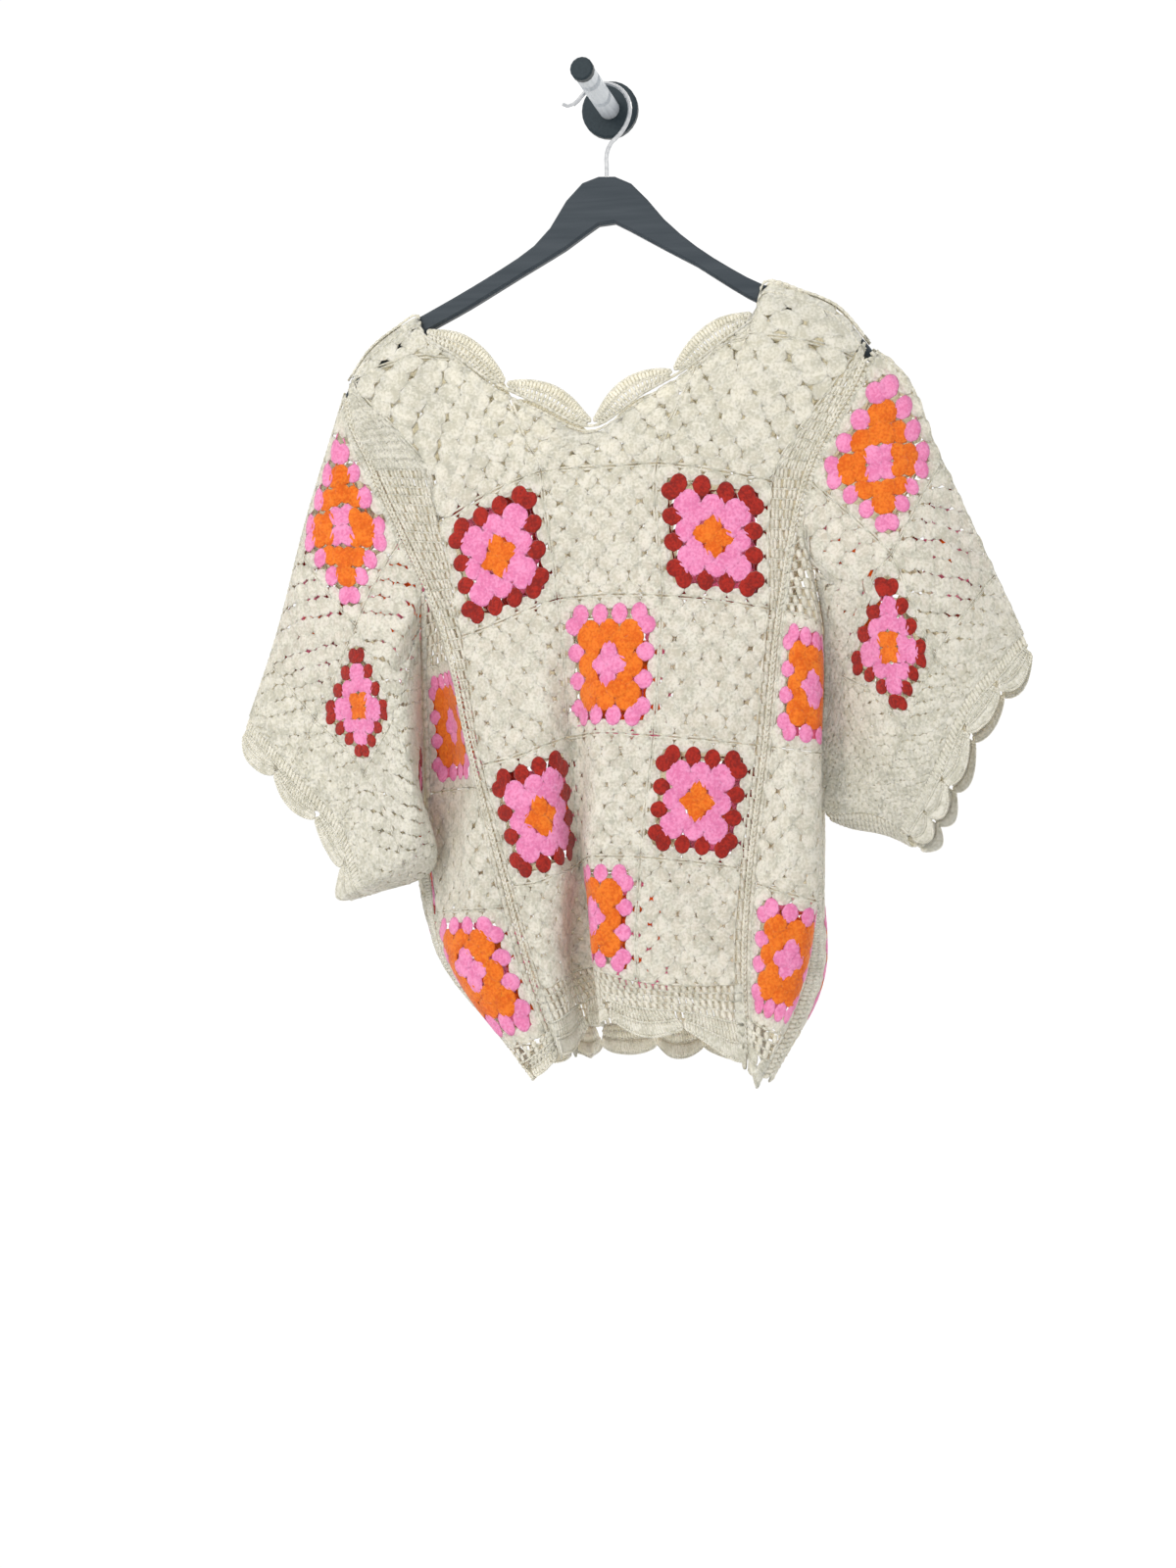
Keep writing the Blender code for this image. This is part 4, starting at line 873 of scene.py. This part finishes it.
def build_sleeve(name, cloth, out):
    """One layer of a sleeve."""
    patch = Patch(cloth.place, out)
    piece = Piece(f"sleeve_{name}_crochet")
    squares(piece, corner_patch(cloth, out, *SLEEVE_CORNERS[name]), (0, 3), (0, 4), SLEEVE_COLOURS[name])
    border = Patch(lambda u, v: cloth.place(v, u), -out)
    fill(piece, border, 0.02, cloth.rows[-1] - 0.02, -1, 0, BORDER_ROWS)
    piece.chain(patch, spots(np.linspace(-1, CUFF_COLUMN, 80), 0.02), FOLD_CHAIN, CREAM)
    return piece.build([f"sleeve_{name}"])


def build_hem(name, cloth, out, u0, u1, count, start=EDGING_ROW, rise=1.0):
    """The hem edging of one panel. rise is the scallops' share of their full height."""
    patch = Patch(cloth.place, out)
    piece = Piece(f"{name}_crochet")
    last = cloth.rows[-1] - 0.02
    middle = start + (last - start) * (0.45 + 0.25 * (1 - rise))
    fill(piece, patch, u0, u1, start, middle, EDGING_ROWS)
    band = last - middle + HEM_SCALLOP * (1 - rise) / 2
    scallops(piece, patch, u0, u1, middle, HEM_SCALLOP * rise, band, count)
    return piece.build([name])


def build_cuff(name, cloth, out):
    """The scalloped cuff of one layer of a sleeve: u is the row and v millimetres out from its border."""
    def place(u, v):
        border = np.full_like(u, CUFF_COLUMN)
        base = cloth.place(border, u)
        width = np.interp(u, cloth.rows, cloth.widths[:, 2])
        way = cloth.at(cloth.share(border, u) + 1 / width, u) - base
        return base + way * v[..., None]

    patch = Patch(place, -out, 1)
    piece = Piece(f"cuff_{name}_crochet")
    u0, u1 = 0.02, cloth.rows[-1] - 0.02
    fill(piece, patch, u0, u1, 0.0, CUFF_ROWS, EDGING_ROWS)
    scallops(piece, patch, u0, u1, CUFF_ROWS, CUFF_SCALLOP, CUFF_BAND - CUFF_ROWS, 5)
    return piece.build([f"cuff_{name}"])


def build_neck(side, cloth, out):
    """The scalloped edging along one side's V."""
    edge = cloth.place(np.linspace(-1, 4, 401), -1.0)
    lengths = length_along(edge)
    start, turn, end = (np.interp(x, edge[:, 0], lengths) for x in NECK_X)
    at = np.concatenate([np.linspace(start, turn, 61), np.linspace(turn, end, 61)[1:]])
    base = between(at, lengths, edge)
    ahead = np.gradient(base, axis=0)
    up = np.stack([-ahead[:, 2], np.zeros(len(at)), ahead[:, 0]], axis=1)
    kernel = np.ones(9) / 9
    padded = np.pad(up, ((4, 4), (0, 0)), mode="edge")
    up = unit(np.stack([np.convolve(padded[:, k], kernel, mode="valid") for k in range(3)], axis=1))
    keys = np.linspace(0, 4, len(at))

    def place(u, v):
        return between(u, keys, base) + between(u, keys, up) * v[..., None]

    piece = Piece(f"neck_edging_{side}_crochet")
    scallops(piece, Patch(place, out, 1), 0.0, 4.0, 0.5, NECK_SCALLOP, 3.0, 4, lace=0.55)
    return piece.build([f"neck_edging_{side}"])


def build_band(name, back_line, front_line, outwards, out):
    """A band of short posts between the back's and the front's edges."""
    keys = np.linspace(0, 1, len(back_line))

    def place(u, v):
        v = np.asarray(v)[..., None]
        bulge = np.array(outwards, float) * 4 * v * (1 - v)
        return between(u, keys, back_line) * (1 - v) + between(u, keys, front_line) * v + bulge

    piece = Piece(f"{name}_crochet")
    fill(piece, Patch(place, out), 0.0, 1.0, 0.02, 0.98, BAND_ROWS)
    return piece.build([name])


def build_label(cloth):
    """The blank woven label inside the back of the neck."""
    u, v = np.meshgrid(np.linspace(*LABEL_COLUMNS, 13), np.linspace(*LABEL_ROWS, 7), indexing="ij")
    line, normal = Patch(cloth.place, 1).frames(u, v)
    points = (line + normal * LABEL_LIFT).reshape(-1, 3)
    faces = [(k, k + 7, k + 8, k + 1) for i in range(12) for k in range(i * 7, i * 7 + 6)]
    mesh = bpy.data.meshes.new("neck_label_cloth")
    mesh.from_pydata([tuple(p * MM) for p in points], [], faces)
    mesh.shade_smooth()
    made = add_object("neck_label_cloth", mesh)
    thicken = made.modifiers.new("thickness", "SOLIDIFY")
    thicken.thickness = 0.5 * MM
    thicken.offset = 0
    made.data.materials.append(LABEL)
    return ride_frame(made, ["neck_label"])


def armhole_line(armhole, seam, side_cloth):
    """The body's edge that a sleeve joins, as a function of the sleeve's row."""
    apex = side_cloth.rows[0]
    rows = np.array([apex + 0.2, 1.0, 1.5, 2.0, 2.5, 3.0, 3.5, 4.1])
    outer = side_cloth.edge(1)(rows)

    def line(row):
        body = np.interp(row, armhole.sleeve, armhole.body)
        step = np.clip((body - apex) / 0.1, 0, 1)[:, None]
        return seam(np.minimum(body, apex)) * (1 - step) + between(body, rows, outer) * step

    return line


def build_garment():
    """Every crochet piece of the top, each sheet with what is sewn on it."""
    middles = {side: Cloth(lines, 3) for side, lines in (("back", BACK), ("front", FRONT))}
    facing = {"back": -1, "front": 1}
    label = build_label(middles["back"])
    tops = [cloth.place(np.linspace(-1, 4, 200), -1.0) for cloth in middles.values()]
    for side, cloth in middles.items():
        out = facing[side]
        body = build_middle(side, cloth, out)
        sewn = [build_hem(f"hem_{side}", cloth, out, -1, 4, 6), build_neck(side, cloth, out)]
        rows = np.linspace(-0.9, cloth.rows[-1] - 0.04, 120)
        for hand, share in (("left", 0), ("right", 1)):
            line, normal = seam_frames(cloth, share, rows, out)
            sewn.append(raised_seam(f"seam_{side}_{hand}_crochet", line, normal, [f"seam_{side}_{hand}"]))
        if side == "back":
            sewn.append(label)
    for hand, share, outwards in (("left", 0, -1), ("right", 1, 1)):
        edges, arms, sheets = {}, {}, []
        armhole = ARMHOLES[hand]
        for side, middle in middles.items():
            name = f"{side}_{hand}"
            out = facing[side] * outwards
            seam = middle.edge(share)
            cloth = Cloth(SIDES[name], 1, start=seam, outer=MEET)
            column = build_side(name, cloth, out)
            start = max(EDGING_ROW, SIDE_STEPS[hand][-1])
            hem = build_hem(f"hem_{name}", cloth, out, -1, 2, 2, start, SIDE_RISE)
            sleeve = Cloth(SLEEVES[name], 2, start=armhole_line(armhole, seam, cloth), inner=ARM_EDGE)
            arm = build_sleeve(name, sleeve, out)
            cuff = build_cuff(name, sleeve, out)
            edges[side] = cloth.edge(1)(np.linspace(armhole.body[-1] + 0.25, cloth.rows[-1], 14))
            arms[side] = sleeve.at(np.linspace(0.14, 0.88, 8), sleeve.rows[-1])
            sheets.append((column, [hem], arm, [cuff]))
        ends = np.linspace(*SHOULDERS[hand], 20)
        lines = [between(ends, top[:, 0], top) for top in tops]
        shoulder = build_band(f"shoulder_{hand}", *lines, (0, 0, SHOULDER_BULGE), 1)
        bow = (outwards * BAND_BULGE, 0, 0)
        side_band = build_band(f"side_band_{hand}", edges["back"], edges["front"], bow, 1)
        arm_band = build_band(f"under_arm_band_{hand}", arms["back"], arms["front"], (0, 0, -BAND_BULGE), 1)
        sheets[0][1].append(side_band)
        sheets[0][3].extend([arm_band, shoulder])


def seam_frames(cloth, share, rows, out):
    """A seam's line and the cloth's normals along it."""
    line = cloth.at(np.full(len(rows), float(share)), rows)
    aside = cloth.at(np.full(len(rows), 0.03 if share == 0 else 0.97), rows)
    along = (aside - line) if share == 0 else (line - aside)
    return line, unit(np.cross(along, np.gradient(line, axis=0)) * out)


LABEL = hard("label_weave", (0.72, 0.71, 0.70), (0.82, 0.81, 0.80), 0.8, scale=900.0, stretch=(1, 1, 3),
             depth=0.0001)
WOOD = hard("hanger_paint", (0.026, 0.036, 0.046), (0.044, 0.055, 0.066), 0.6, scale=60.0,
            stretch=(0.25, 4, 4), gloss=0.2)
PLASTIC = hard("hook_plastic", (0.014, 0.024, 0.031), (0.026, 0.038, 0.046), 0.6, scale=400.0,
               depth=0.00005, gloss=0.2)
METAL = hard("hook_metal", (0.38, 0.41, 0.44), (0.48, 0.51, 0.54), 0.6, 0.3, scale=500.0,
             stretch=(1, 0.06, 1), rough_spread=0.08, depth=0.00003)
WIRE = hard("wire_metal", (0.46, 0.47, 0.49), (0.60, 0.61, 0.62), 0.25, 1.0, scale=300.0,
            rough_spread=0.05, depth=0.00002)
HARDWARE = {"wall_plate": PLASTIC, "peg_cap": PLASTIC, "peg": METAL, "hanger_hook": WIRE, "hanger_body": WOOD}
for node, material in HARDWARE.items():
    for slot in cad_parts[node].material_slots:
        slot.material = material

build_garment()

FLOOR_R, FLOOR_Z = 0.7, -1.6
floor_mesh = bpy.data.meshes.new("studio_floor")
turns = np.linspace(0, 2 * math.pi, 64, endpoint=False)
ring = [(FLOOR_R * math.cos(a), FLOOR_R * math.sin(a), FLOOR_Z) for a in turns]
floor_mesh.from_pydata(ring, [], [tuple(range(len(ring)))])
floor = add_object("studio_floor", floor_mesh)
floor.data.materials.append(hard("studio_paint", (0.78, 0.79, 0.81), (0.84, 0.85, 0.87), 0.7, scale=6.0))

world = bpy.data.worlds.new("studio")
bpy.context.scene.world = world
world.use_nodes = True
set_sockets(world.node_tree.nodes["Background"], {"Color": (1.0, 1.0, 1.0, 1), "Strength": 1.05})
bpy.context.scene.view_settings.view_transform = "Standard"


def lamp(name, place, power, size, colour):
    """A soft square lamp that faces the middle of the top."""
    light = bpy.data.lights.new(name, "AREA")
    light.energy, light.size, light.color = power, size, colour
    made = add_object(name, light)
    made.location = place
    way = np.array(LAMP_TARGET, float) - np.array(place, float)
    tilt, turn = math.acos(-way[2] / np.linalg.norm(way)), math.atan2(way[1], way[0]) - math.pi / 2
    made.rotation_euler = (tilt, 0, turn)


LAMP_TARGET = (0, 0, -0.5)
lamp("key", (-0.9, -2.0, 0.5), 29, 1.2, (1, 0.95, 0.88))
lamp("behind", (0.2, 1.3, -0.2), 20, 1.8, (1, 0.95, 0.87))

camera = add_object("camera", bpy.data.cameras.new("camera"))
camera.location = (0.379, -1.877, -0.568)
camera.rotation_euler = (math.radians(90), 0, math.radians(12))
camera.data.sensor_width = 36
camera.data.lens = 52.02
bpy.context.scene.camera = camera
